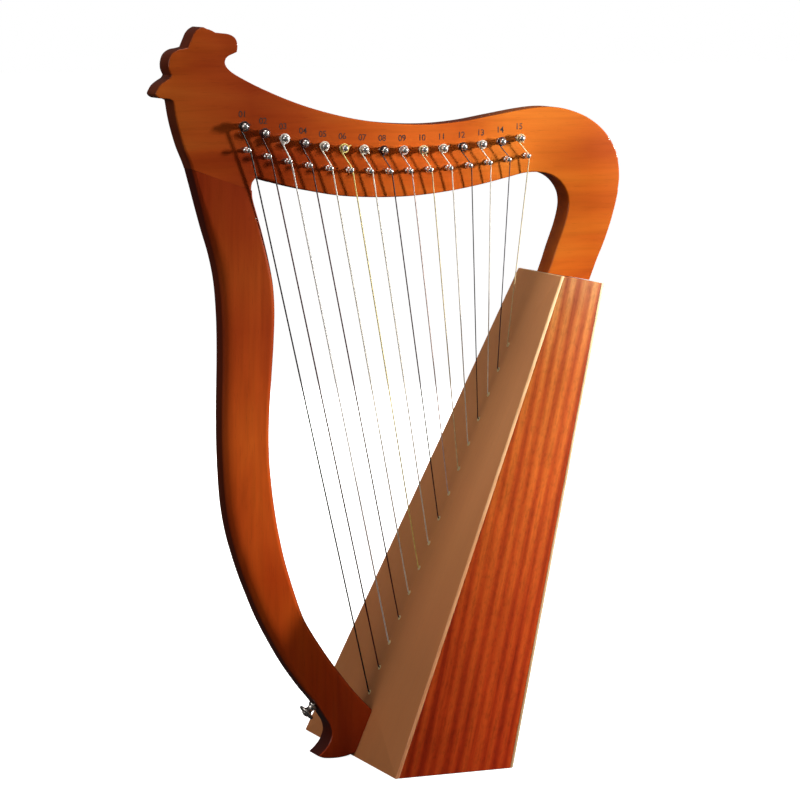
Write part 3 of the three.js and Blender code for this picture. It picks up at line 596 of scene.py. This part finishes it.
# soundboard edge: a pale cut edge; its ramp is painted highlight, pink-tan at the bottom and near white towards the
# top
M_BOARD_EDGE = satin_wood("soundboard_edge", srgb(246, 204, 150), srgb(238, 190, 134), srgb(224, 168, 112), (0, -LEAN, 0), (0.42, 0.52), 0.5, 0.2, (400, 400, 6),
                          painted_light_ramp=[(0.0, (1.0, 0.68, 0.62, 1)), (0.45, (1.0, 0.80, 0.74, 1)), (0.8, (1, 1, 1, 1)), (1.0, (1.03, 1.1, 1.15, 1))])
M_SIDE = ribbon("ribbon_side", srgb(222, 112, 44), srgb(204, 88, 33), srgb(174, 64, 24), math.radians(-16), (0.4, 0.1, 0.2))
M_TOP = ribbon("ribbon_top", srgb(150, 80, 44), srgb(134, 66, 34), srgb(112, 50, 26), math.radians(80), (2.4, 1.1, 0.2), fade=False, coat=0.0)
M_BACK = satin_wood("back_board", srgb(172, 112, 66), srgb(150, 92, 50), srgb(124, 72, 38), (0, -math.radians(15.4), 0), (0.4, 0.52), 0.7, 0.25, (34, 34, 1.6), (3, 2, 1))
# back edge: a pale cut edge, brightened to near white as painted light for the key lamp falling along it
M_BACK_EDGE_PAINTED_LIGHT = satin_wood("back_edge_painted_light", srgb(250, 224, 180), srgb(244, 210, 160), srgb(232, 192, 138), (0, -math.radians(15.4), 0), (0.5, 0.6), 0.6, 0.0, (300, 300, 8), (3, 2, 1))
M_INNER = satin_wood("inner_wood", srgb(214, 182, 134), srgb(200, 164, 114), srgb(180, 140, 92), (0, 0, 0), (0.7, 0.8), 0.6, 0.0, (70, 70, 5), (5, 1, 2))
M_STEEL = metal("pin_nickel", (0.90, 0.89, 0.88, 1), 0.20, metallic=0.88)
M_DARK = metal("button_nickel", (0.66, 0.62, 0.59, 1), 0.20, metallic=0.9)
M_BRASS = metal("eyelet_brass", (0.98, 0.80, 0.46, 1), 0.36, metallic=0.25)
m_ink, nt_ink, b_ink = nodes_of("mark_ink")
ink = noise(nt_ink, mapped(nt_ink, (900, 900, 900)), 1.0, 2, 0.5)
nt_ink.links.new(ramp(nt_ink, ink, [(0.3, (0.016, 0.008, 0.006, 1)), (0.75, (0.06, 0.028, 0.018, 1))]), b_ink.inputs["Base Color"])
b_ink.inputs["Roughness"].default_value = 0.45
M_INK = m_ink

SM = {
    "black": string_mat("string_black", srgb(20, 14, 12), 0.0, 0.45),
    "dred": string_mat("string_dark_red", srgb(70, 14, 9), 0.0, 0.45),
    "wound": string_mat("string_wound", srgb(250, 246, 240), 0.1, 0.34, 1.0),
    "silver": string_mat("string_silver", srgb(255, 244, 226), 0.0, 0.32),
    "yellow": string_mat("string_yellow", srgb(249, 229, 138), 0.0, 0.35),
    "rose": string_mat("string_rose", srgb(226, 200, 190), 0.1, 0.3),
    "gold": string_mat("string_gold", srgb(246, 228, 176), 0.1, 0.3),
    "brown": string_mat("string_brown", srgb(56, 22, 16), 0.0, 0.45),
    "violet": string_mat("string_violet", srgb(44, 34, 52), 0.0, 0.45),
}
STRING_KIND = ["black", "dred", "wound", "dred", "silver", "yellow", "silver", "brown", "rose", "gold", "silver", "black", "silver", "violet", "gold"]

# ------------------------------------------------------------------ box geometry
BL = math.hypot(BOX_C[0] - BOX_A[0], BOX_C[1] - BOX_A[1])
U = Vector(((BOX_C[0] - BOX_A[0]) / BL, 0, (BOX_C[1] - BOX_A[1]) / BL))
NV = Vector((U.z, 0, -U.x))


def board_point(s, y, d):
    return Vector((BOX_A[0], y, BOX_A[1])) + U * s + NV * d


def line(p, q, inw, d):
    L = math.hypot(q[0] - p[0], q[1] - p[1])
    n = (-(q[1] - p[1]) / L * inw, (q[0] - p[0]) / L * inw)
    return ((p[0] + n[0] * d, p[1] + n[1] * d), (q[0] + n[0] * d, q[1] + n[1] * d))


def meet(l, m):
    (a, b), (c, d) = l, m
    r, s = (b[0] - a[0], b[1] - a[1]), (d[0] - c[0], d[1] - c[1])
    t = ((c[0] - a[0]) * s[1] - (c[1] - a[1]) * s[0]) / (r[0] * s[1] - r[1] * s[0])
    return (a[0] + r[0] * t, a[1] + r[1] * t)


front_l = lambda d: line(BOX_A, BOX_C, -1, d)
back_l = lambda d: line(BOX_B, BOX_D, 1, d)
top_l = lambda d: line(BOX_C, BOX_D, -1, d)
bottom_l = lambda d: line(BOX_A, BOX_B, 1, d)
half_w = lambda z, inset=0.0: HALF_W0 - TAPER * z - inset * math.hypot(1, TAPER)


def ride(o, slot, *nodes):
    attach(o, ROOT)
    if nodes:
        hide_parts(*nodes)
    return o


def subdivide_loop(loop, n):
    out = []
    for i in range(len(loop)):
        a, b = np.array(loop[i], float), np.array(loop[(i + 1) % len(loop)], float)
        for k in range(n):
            out.append(a + (b - a) * k / n)
    return out


def round_corners(loop, r, n=3):
    """Replaces each corner of a 2-D loop by a small arc."""
    out = []
    m = len(loop)
    for i in range(m):
        p, a, b = (np.array(loop[j % m], float) for j in (i, i - 1, i + 1))
        u, v = (a - p) / np.linalg.norm(a - p), (b - p) / np.linalg.norm(b - p)
        for k in range(n + 1):
            t = k / n
            out.append(p + u * r * (1 - t) ** 2 + v * r * t ** 2)
    return out


# ------------------------------------------------------------------ neck and pillar
to_xz = lambda q, d: (q[0] * MM, d * MM, q[1] * MM)
neck_loop = outline(NECK_RUNS)
# the foot of the neck stands on the top panel
n_top = np.array((BOX_C[1] - BOX_D[1], BOX_D[0] - BOX_C[0]), float)
n_top /= np.linalg.norm(n_top)
above = (neck_loop - np.array(BOX_C)) @ n_top
low = (neck_loop[:, 0] > 100) & (above < 0.3)
neck_loop[low] -= np.outer(above[low] - 0.12, n_top)


def radius_along(loop, fn):
    return np.array([fn(x, z) for x, z in loop])


def smooth_step(a, b, v):
    t = min(1.0, max(0.0, (v - a) / (b - a)))
    return t * t * (3 - 2 * t)


def neck_r(x, z):
    r = 1.3
    if x < -110 and z > 525:
        r = 0.9
    if x < -100 and z < 505:
        r = 1.3 + 1.6 * smooth_step(505, 462, z)
    return r


def pillar_r(x, z):
    """Depth of the rounding; the outer side is cushioned wider than it is deep."""
    r = 2.8 + 1.7 * smooth_step(470, 400, z)
    if x < -40:
        r = r * (0.3 + 0.7 * smooth_step(24, 70, z))
    else:
        r = r * (0.55 + 0.45 * smooth_step(30, 90, z))
    if z < 24:
        r = min(r, 1.2)
    return r


OUTER = np.array(catmull(PILLAR_RUNS[3], 4.0))


def pillar_wide(x, z):
    near = np.min(np.hypot(OUTER[:, 0] - x, OUTER[:, 1] - z)) < 13.0
    return 1.0 + (1.25 * smooth_step(468, 400, z) * smooth_step(34, 90, z) if near else 0.0)


nr = radius_along(neck_loop, neck_r)
joint_n = np.array((457.4 - 475.3, 119.85 - 169.1))
joint_n /= np.linalg.norm(joint_n)
neck_holes = [((x, z), (x, z), 2.72, 28) for x, z in TUNING]
# the sawn joint between neck and pillar closes to a hair line
for i, (x, z) in enumerate(neck_loop):
    if (abs(x + 119.9) < 0.06 and abs(z - 457.7) < 0.06) or (abs(x + 169.2) < 0.06 and abs(z - 475.6) < 0.06):
        neck_loop[i][1] -= 0.16
nswell = inward(neck_loop if area2(neck_loop) > 0 else neck_loop[::-1])
nswell = nswell if area2(neck_loop) > 0 else nswell[::-1]
for i, (x, z) in enumerate(neck_loop):
    joint_fade = smooth_step(4, 16, (x + 119.9) * joint_n[0] * -1 + (z - 457.7) * joint_n[1] * -1) if x < -100 else 1.0
    neck_loop[i] -= nswell[i] * 0.3 * nr[i] * smooth_step(392, 404, z) * joint_fade * (1.0 if -196.5 < x < 197.5 and z < 583 else 0.0)
foot_ends = [tuple(neck_loop[int(np.argmin(np.linalg.norm(neck_loop - np.array(p), axis=1)))]) for p in ((172.3, 377.1), (134.9, 384.2))]
neck = plate("neck_board", neck_loop, neck_loop, to_xz, -HALF_T, HALF_T, [M_NECK], nr, nr, neck_holes, k=5, cuts=[((-119.9, 457.54), (-169.2, 475.44)), foot_ends])
ride(neck, "lacquered_wood", "neck")

pillar_loop = outline(PILLAR_RUNS)
pr = radius_along(pillar_loop, pillar_r)
# the sawn size is taken over the rounded edges
swell = inward(pillar_loop if area2(pillar_loop) > 0 else pillar_loop[::-1])
swell = swell if area2(pillar_loop) > 0 else swell[::-1]
pw = pr * radius_along(pillar_loop, pillar_wide)
for i, (x, z) in enumerate(pillar_loop):
    pillar_loop[i] -= swell[i] * 0.36 * pr[i] * smooth_step(28, 60, z) * smooth_step(478, 440, z)
# the bearing side against the soundboard keeps 0.15 mm
for i, (x, z) in enumerate(pillar_loop):
    d = (x - BOX_A[0]) * NV.x + (z - BOX_A[1]) * NV.z
    if d > -0.15:
        pillar_loop[i] -= np.array((NV.x, NV.z)) * (d + 0.15)
for i, (x, z) in enumerate(pillar_loop):
    if (abs(x + 119.8) < 0.06 and abs(z - 457.1) < 0.06) or (abs(x + 169.0) < 0.06 and abs(z - 475.0) < 0.06):
        pillar_loop[i][1] += 0.16
bear_ends = [tuple(pillar_loop[int(np.argmin(np.linalg.norm(pillar_loop - np.array(p), axis=1)))]) for p in ((-19.3, 36.9), (-34.2, 2.8))]
pillar = plate("pillar_board", pillar_loop, pillar_loop, to_xz, -HALF_T, HALF_T, [M_PILLAR], pw, pw, (), k=8, depth=pr, cuts=[((-119.8, 457.26), (-169.0, 475.16)), bear_ends])
ride(pillar, "lacquered_wood", "pillar")

# ------------------------------------------------------------------ soundbox
row_y = lambda i: ROW_Y0 + (ROW_Y1 - ROW_Y0) * i / (N_STR - 1)
row_s = lambda i: ROW_FIRST + ROW_PITCH * i


def strip_loop(f, lo_line, hi_line, inset=0.0):
    """Corners of a panel on plane line f, as (distance along f, y), bottom left round to top left."""
    p, q = np.array(meet(lo_line, f)), np.array(meet(hi_line, f))
    o, e = np.array(f[0]), np.array(f[1])
    u = (e - o) / np.linalg.norm(e - o)
    s0, s1 = (p - o) @ u, (q - o) @ u
    w0, w1 = half_w(p[1], inset), half_w(q[1], inset)
    return [(s0, -w0), (s0, w0), (s1, w1), (s1, -w1)]


def panel_piece(name, mats, line_of, d_out, d_in, lo_line, hi_line, inset=0.0, holes=(), r=0.7, corner=0.8, edge_slot=0):
    fo, fi = line_of(d_out), line_of(d_in)
    lo_, hi_ = strip_loop(fo, lo_line, hi_line, inset), strip_loop(fi, lo_line, hi_line, inset)
    o = np.array(fo[0]); e = np.array(fo[1]); u = (e - o) / np.linalg.norm(e - o)
    o2 = np.array(fi[0])
    n = (o2 - o); n = n / np.linalg.norm(n)

    def to3d(q, d):
        p = o + u * q[0] + n * d
        return (p[0] * MM, q[1] * MM, p[1] * MM)
    D = float(np.linalg.norm(o2 - o))
    return plate(name, round_corners(lo_, corner), round_corners(hi_, corner), to3d, 0.0, D, mats, r, r, holes, k=3, edge_slot=edge_slot)


# front face of the board is the outer plane; eyelet holes are bored square to it
board_holes = [((row_s(i), row_y(i)), (row_s(i), row_y(i)), 1.35, 20) for i in range(N_STR)]
board = panel_piece("soundboard_sheet", [M_BOARD, M_BOARD_EDGE], front_l, 0.0, BOARD_T, bottom_l(0), top_l(0), 0.0, board_holes, r=0.45, corner=0.5, edge_slot=1)
ride(board, "soundboard_wood", "soundboard")

hole_list = []
for s, r in ((110, 27), (205, 22), (290, 17)):
    hole_list.append(((s, 0.0), (s, 0.0), r, 72))
back = panel_piece("back_sheet", [M_BACK, M_BACK_EDGE_PAINTED_LIGHT], back_l, 0.0, BACK_T, bottom_l(0), top_l(0), 0.0, hole_list, r=0.5, corner=0.6, edge_slot=1)
ride(back, "back_wood", "back_panel")
GP = 0.12
topp = panel_piece("top_cap", [M_TOP], top_l, 0.0, TOP_T, front_l(BOARD_T + GP), back_l(BACK_T + GP), SIDE_T + GP, (), r=0.3, corner=0.3)
ride(topp, "ribbon_wood", "top_panel")
bott = panel_piece("bottom_board", [M_INNER], bottom_l, 0.0, BOTTOM_T, front_l(BOARD_T + GAP), back_l(BACK_T + GAP), SIDE_T + GP, (), r=0.4, corner=0.4)
ride(bott, "plain_wood", "bottom_panel")

# side panels: drawn in XZ, both faces lean with the taper
side_loop = [meet(bottom_l(0), front_l(BOARD_T + GP)), meet(bottom_l(0), back_l(BACK_T + GP)), meet(top_l(0), back_l(BACK_T + GP)), meet(top_l(0), front_l(BOARD_T + GP))]
for nm, node, sg in (("side_left_board", "side_panel_left", -1), ("side_right_board", "side_panel_right", 1)):
    def to3d(q, d, sg=sg):
        return (q[0] * MM, sg * half_w(q[1], d) * MM, q[1] * MM)
    o = plate(nm, round_corners(side_loop, 0.5), round_corners(side_loop, 0.5), to3d, 0.0, SIDE_T, [M_SIDE], 0.4, 0.4, (), k=3)
    ride(o, "ribbon_wood", node)

for node in ("top_block", "bottom_block", "string_rib"):
    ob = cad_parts[node]
    ob.data.materials.clear()
    ob.data.materials.append(M_INNER)
for node in ("neck_screw", "pillar_screw"):
    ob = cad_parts[node]
    ob.data.materials.clear()
    ob.data.materials.append(M_STEEL)

# ------------------------------------------------------------------ eyelets
for i in range(N_STR):
    prof = [(0.75, 3.0), (1.25, 3.0), (1.25, 0.02), (1.9, 0.02), (2.0, -0.12), (1.9, -0.35)] + arc(1.9, -0.35, 0.95, -0.35, 6, 0.16) + [(0.95, -0.35), (0.78, -0.1)]
    e = lathe(prof, 28, board_point(row_s(i), row_y(i), 0), NV, "eyelet_%02d" % (i + 1), [M_BRASS], 50)
    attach(e, ROOT)

# ------------------------------------------------------------------ tuning pins and bridge pins
Yv = Vector((0, 1, 0))
HOLE_Y = COIL_Y - 3.0


def tuning_pin(i):
    x, z = TUNING[i]
    yn, yf = -HALF_T - PIN_NEAR, HALF_T + PIN_FAR
    prof = [(0.0, yn)] + [(PIN_R * math.sin(t), yn + 1.55 * (1 - math.cos(t))) for t in (0.25, 0.5, 0.75, 1.0, 1.25, 1.45)] + [(PIN_R, yn + 1.75)]
    prof += [(PIN_R, -HALF_T - 2.2), (PIN_R - 0.12, -HALF_T - 2.0), (PIN_R - 0.12, -HALF_T - 1.2), (PIN_R, -HALF_T - 1.0), (PIN_R, HALF_T + 2)]
    ys = yf - 13.0
    prof += [(PIN_R, ys - 2.0)]
    sides = 32
    bm = bmesh.new()
    rings = []

    def ring(r, y, sq):
        out = []
        turn = math.pi / 4 * (i % 3) / 3
        for k in range(sides):
            a = 2 * math.pi * k / sides + turn
            b = a - turn
            ca, sa = math.cos(b), math.sin(b)
            m = max(abs(ca), abs(sa))
            rr = r * (1 - sq) + sq * min(r / m * 0.94, r * 1.22)
            out.append(bm.verts.new(((x + rr * math.cos(a)) * MM, y * MM, (z + rr * math.sin(a)) * MM)))
        return out
    start = bm.verts.new((x * MM, yn * MM, z * MM))
    for r, y in prof[1:]:
        rings.append(ring(r, y, 0))
    rings.append(ring(2.42, ys, 0.9))
    rings.append(ring(2.25, ys + 5, 1))
    rings.append(ring(2.05, yf - 0.7, 1))
    rings.append(ring(1.55, yf - 0.05, 0.9))
    end = bm.verts.new((x * MM, (yf - 0.02) * MM, z * MM))
    n = sides
    for t in range(n):
        bm.faces.new((start, rings[0][(t + 1) % n], rings[0][t]))
        bm.faces.new((end, rings[-1][t], rings[-1][(t + 1) % n]))
    for a, b in zip(rings[:-1], rings[1:]):
        for t in range(n):
            bm.faces.new((a[t], a[(t + 1) % n], b[(t + 1) % n], b[t]))
    o = finish_mesh(bm, "tuning_pin_%02d_turned" % (i + 1), [M_STEEL], 28)
    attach(o, "pin_%02d" % (i + 1))
    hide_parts("tuning_pin_%02d" % (i + 1))


def bridge_pin(i):
    x, z = BRIDGE[i]
    prof = [(0.0, -9.0), (1.2, -9.0), (1.2, 0.04), (2.3, 0.04), (2.42, 0.25), (2.42, 0.95), (2.2, 1.25), (1.75, 1.5), (1.42, 2.2), (1.22, 3.3), (1.18, 4.6), (1.32, 5.5), (1.72, 6.0), (2.0, 6.3), (2.05, 6.8)]
    prof += [(2.05 * math.cos(t), 6.85 + 1.13 * math.sin(t)) for t in (0.25, 0.5, 0.75, 1.0, 1.25)] + [(0.0, 7.98)]
    o = lathe(prof, 26, (x, -HALF_T, z), (0, -1, 0), "bridge_pin_%02d_turned" % (i + 1), [M_STEEL], 45)
    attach(o, ROOT)
    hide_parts("bridge_pin_%02d" % (i + 1))


def string_piece(i):
    r = STRING_R[i]
    T = Vector((TUNING[i][0], COIL_Y, TUNING[i][1]))
    B = Vector((BRIDGE[i][0], GROOVE_Y, BRIDGE[i][1]))
    rc = PIN_R + 0.04 + r
    rb = 1.2 + 0.05 + r
    H = board_point(row_s(i), row_y(i), 0)
    low = Vector((B.x - H.x, 0, B.z - H.z)).normalized()
    b_right = Vector((low.z, 0, -low.x))
    d = Vector((T.x - B.x, 0, T.z - B.z))
    dist = d.length
    d.normalize()
    sin_a = (rc + rb) / dist
    cos_a = math.sqrt(1 - sin_a * sin_a)
    side = Vector((d.z, 0, -d.x)) * cos_a + d * sin_a
    pts = [board_point(row_s(i), row_y(i), BOARD_T + GAP + RIB_T + 1.2), board_point(row_s(i), row_y(i), 2.0), board_point(row_s(i), row_y(i), 0.4)]
    end_low = B + b_right * rb
    out_dir = (end_low - board_point(row_s(i), row_y(i), 0)).normalized()
    k0 = board_point(row_s(i), row_y(i), 0.4)
    # leaves the eyelet in a short bend
    pts.append(board_point(row_s(i), row_y(i), -0.35) + out_dir * 0.25)
    first = board_point(row_s(i), row_y(i), -0.9) + out_dir * 1.2
    pts.append(first)
    n = 24
    for k in range(1, n):
        pts.append(first.lerp(end_low, k / n))
    # round the groove of the bridge pin
    a0, a1 = math.atan2(b_right.z, b_right.x), math.atan2(side.z, side.x)
    while a1 < a0 - math.pi:
        a1 += 2 * math.pi
    while a1 > a0 + math.pi:
        a1 -= 2 * math.pi
    for k in range(0, 7):
        a = a0 + (a1 - a0) * k / 6
        pts.append(Vector((B.x + rb * math.cos(a), GROOVE_Y, B.z + rb * math.sin(a))))
    start = math.atan2(-side.z, -side.x)
    t1 = Vector((T.x + rc * math.cos(start), COIL_Y, T.z + rc * math.sin(start)))
    last = pts[-1].copy()
    for k in range(1, 8):
        pts.append(last.lerp(t1, k / 8))
    turns = 1.85 + 0.45 * ((i * 7) % 5) / 5
    pitch = 2 * r + 0.04
    steps = int(turns * 26)
    for k in range(0, steps + 1):
        a = start - 2 * math.pi * turns * k / steps
        y = COIL_Y - pitch * turns * k / steps
        ro = rc + 0.32 * smooth_step(0.45, 0.75, k / steps)      # the last turn stands off a little
        pts.append(Vector((T.x + ro * math.cos(a), y, T.z + ro * math.sin(a))))
    # the end goes through the hole in the pin and stands out a little on the far side of it
    a_end = start - 2 * math.pi * turns
    y_end = COIL_Y - pitch * turns
    hole_dir = a_end - math.radians(62)
    rad = Vector((math.cos(hole_dir), 0, math.sin(hole_dir)))
    y_h = y_end - 2 * r * 0.8
    for k in range(1, 6):
        t = k / 5
        a = a_end - math.radians(62) * t
        rr = (rc + 0.32 * (1 - t)) * (1 - t * t * 0.28)
        pts.append(Vector((T.x + rr * math.cos(a), y_end + (y_h - y_end) * t, T.z + rr * math.sin(a))))
    tail = 1.2 + 2.2 * (((i * 5 + 2) % 7) / 7)
    for k in range(1, 7):
        t = k / 6
        q = rc * 0.72 * (1 - t) - (PIN_R + tail) * t
        pts.append(Vector((T.x, y_h, T.z)) + rad * q)
    kind = STRING_KIND[i]
    radii = [r] * len(pts)
    o = sweep(pts, radii, 10, "string_%02d_wire" % (i + 1), [SM[kind]])
    # knot at the inner end
    kn = board_point(row_s(i), row_y(i), BOARD_T + GAP + RIB_T + 2.0)
    kp = []
    for k in range(0, 31):
        a = 2 * math.pi * k / 15
        kp.append(kn + U * (1.25 * math.cos(a)) + Vector((0, 1, 0)) * (1.25 * math.sin(a)) + NV * (0.9 * math.sin(a * 0.5) + k * 0.02))
    kob = sweep(kp, r * 1.05, 8, "knot_tmp", [SM[kind]])
    bm = bmesh.new()
    bm.from_mesh(o.data)
    bm.from_mesh(kob.data)
    bm.to_mesh(o.data)
    bm.free()
    bpy.data.objects.remove(kob)
    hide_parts("string_%02d" % (i + 1))
    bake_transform(o)


for i in range(N_STR):
    tuning_pin(i)
    bridge_pin(i)
    string_piece(i)

# ------------------------------------------------------------------ number marks over the pins
mark_meshes = []
for i in range(N_STR):
    cu = bpy.data.curves.new("mark", "FONT")
    cu.body = "%02d" % (i + 1)
    cu.size = 6.9 * MM
    cu.extrude = 0.02 * MM
    cu.offset = 0.05 * MM
    cu.align_x = "CENTER"
    cu.align_y = "CENTER"
    cu.space_character = 0.95
    ob = bpy.data.objects.new("mark", cu)
    bpy.context.scene.collection.objects.link(ob)
    x, z = TUNING[i]
    ob.matrix_world = Matrix.Translation(Vector(((x + 0.6) * MM, (-HALF_T - 0.04) * MM, (z + 9.0) * MM))) @ Matrix.Rotation(math.radians(90), 4, "X")
    bpy.context.view_layer.update()
    dg = bpy.context.evaluated_depsgraph_get()
    me = bpy.data.meshes.new_from_object(ob.evaluated_get(dg))
    me.transform(ob.matrix_world)
    mark_meshes.append(me)
    bpy.data.objects.remove(ob)
bm = bmesh.new()
for me in mark_meshes:
    bm.from_mesh(me)
bmesh.ops.remove_doubles(bm, verts=bm.verts, dist=1e-6)
me = bpy.data.meshes.new("number_marks")
bm.to_mesh(me)
bm.free()
me.materials.clear()
marks = new_object("number_marks", me, [M_INK])
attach(marks, ROOT)

# ------------------------------------------------------------------ strap button
foot = Vector((BUTTON_AT[0], 0, BUTTON_AT[1]))
bdir = Vector((BUTTON_DIR[0], 0, BUTTON_DIR[1])).normalized()
prof = [(1.75, 0.9), (4.4, 0.9), (4.6, 1.1), (4.6, 1.6), (4.3, 2.0), (3.5, 2.7), (3.0, 3.6), (2.75, 4.8), (2.8, 5.8), (3.1, 6.6), (4.0, 7.3), (5.6, 7.8), (6.8, 8.1), (7.1, 8.5), (7.1, 9.1), (6.9, 9.6), (6.3, 10.0), (4.4, 10.2), (3.6, 10.1), (3.3, 9.8), (1.75, 9.6)]
btn = lathe(prof, 48, foot, bdir, "strap_button_turned", [M_DARK], 40)
ride(btn, "dark_nickel", "strap_button")
sp = [(0.0, -16.0), (0.4, -15.9), (1.4, -13.0), (1.4, 9.7), (3.1, 9.9), (3.2, 10.3), (2.9, 10.9), (2.2, 11.5), (1.2, 11.8), (0.0, 11.9)]
scr = lathe(sp, 32, foot, bdir, "strap_button_screw_turned", [M_DARK], 40)
ride(scr, "dark_nickel", "strap_button_screw")

# ------------------------------------------------------------------ floor, light
m_floor, nt, b = nodes_of("floor_paper")
b.inputs["Base Color"].default_value = (0.93, 0.93, 0.93, 1)
b.inputs["Roughness"].default_value = 0.9
fl_mesh = bpy.data.meshes.new("floor")
fl_mesh.from_pydata([(-9, -6, -0.0004), (9, -6, -0.0004), (9, 14, -0.0004), (-9, 14, -0.0004)], [], [(0, 1, 2, 3)])
floor = new_object("floor", fl_mesh, [m_floor])
em = nt.nodes.new("ShaderNodeEmission")
em.inputs["Color"].default_value = (1, 1, 1, 1)
em.inputs["Strength"].default_value = 0.93
add = nt.nodes.new("ShaderNodeAddShader")
out = [n for n in nt.nodes if n.type == "OUTPUT_MATERIAL"][0]
nt.links.new(b.outputs[0], add.inputs[0])
nt.links.new(em.outputs[0], add.inputs[1])
nt.links.new(add.outputs[0], out.inputs[0])
# the paper is seen, and stays out of the bounced light and the reflections
floor.visible_diffuse = False
floor.visible_glossy = False

world = bpy.data.worlds.new("studio")
bpy.context.scene.world = world
world.use_nodes = True
wn = world.node_tree
wn.nodes.clear()
wout = wn.nodes.new("ShaderNodeOutputWorld")
bg_cam = wn.nodes.new("ShaderNodeBackground")
bg_cam.inputs[0].default_value = (1, 1, 1, 1)
bg_cam.inputs[1].default_value = 1.0
bg_lit = wn.nodes.new("ShaderNodeBackground")
wtc = wn.nodes.new("ShaderNodeTexCoord")
wsep = wn.nodes.new("ShaderNodeSeparateXYZ")
wn.links.new(wtc.outputs["Generated"], wsep.inputs[0])
wr = wn.nodes.new("ShaderNodeValToRGB")
wr.color_ramp.elements[0].position = 0.42
wr.color_ramp.elements[0].color = (0.020, 0.020, 0.020, 1)
wr.color_ramp.elements[1].position = 0.85
wr.color_ramp.elements[1].color = (0.10, 0.10, 0.10, 1)
wm = wn.nodes.new("ShaderNodeMapRange")
wm.inputs[1].default_value, wm.inputs[2].default_value = -1.0, 1.0
wn.links.new(wsep.outputs[2], wm.inputs[0])
wn.links.new(wm.outputs[0], wr.inputs[0])
wn.links.new(wr.outputs[0], bg_lit.inputs[0])
bg_lit.inputs[1].default_value = 1.0
wlp = wn.nodes.new("ShaderNodeLightPath")
wmix = wn.nodes.new("ShaderNodeMixShader")
wn.links.new(wlp.outputs["Is Camera Ray"], wmix.inputs[0])
wn.links.new(bg_lit.outputs[0], wmix.inputs[1])
wn.links.new(bg_cam.outputs[0], wmix.inputs[2])
wn.links.new(wmix.outputs[0], wout.inputs[0])


def area(name, loc, aim, size, size_y, watts, col=(1, 1, 1), up=None):
    ld = bpy.data.lights.new(name, "AREA")
    ld.shape = "RECTANGLE"
    ld.size, ld.size_y = size, size_y
    ld.energy = watts
    ld.color = col
    o = bpy.data.objects.new(name, ld)
    bpy.context.scene.collection.objects.link(o)
    o.location = loc
    o.rotation_euler = (Vector(aim) - Vector(loc)).to_track_quat("-Z", "Y").to_euler()
    if up is not None:      # the long side lies along up, as seen from the harp
        z = (Vector(loc) - Vector(aim)).normalized()
        y = (up - z * up.dot(z)).normalized()
        o.rotation_euler = Matrix((y.cross(z), y, z)).transposed().to_euler()
    return o


area("key", (0.70, -0.345, 0.58), (0.02, 0.0, 0.30), 0.045, 0.16, 10.3, (1.0, 0.97, 0.93), up=U)
area("fill", (-1.6, -1.5, 1.1), (0.0, 0.0, 0.25), 1.4, 1.4, 4.5, (1.0, 0.94, 0.88))
area("left", (-2.4, -0.35, 0.9), (0.0, 0.0, 0.25), 1.2, 1.2, 16.0, (1.0, 0.95, 0.90))
area("over", (-0.15, -0.25, 2.3), (0.0, 0.0, 0.25), 1.0, 1.0, 14.0, (1.0, 0.95, 0.90))
far = area("far_fill", (0.9, 2.0, 0.9), (0.05, 0.0, 0.25), 1.4, 1.4, 34.0, (1.0, 0.97, 0.93))
far.visible_glossy = False      # lights the far side softly, without a mirror image in the lacquer
bpy.context.scene.view_settings.view_transform = "Standard"
bpy.context.scene.view_settings.look = "None"
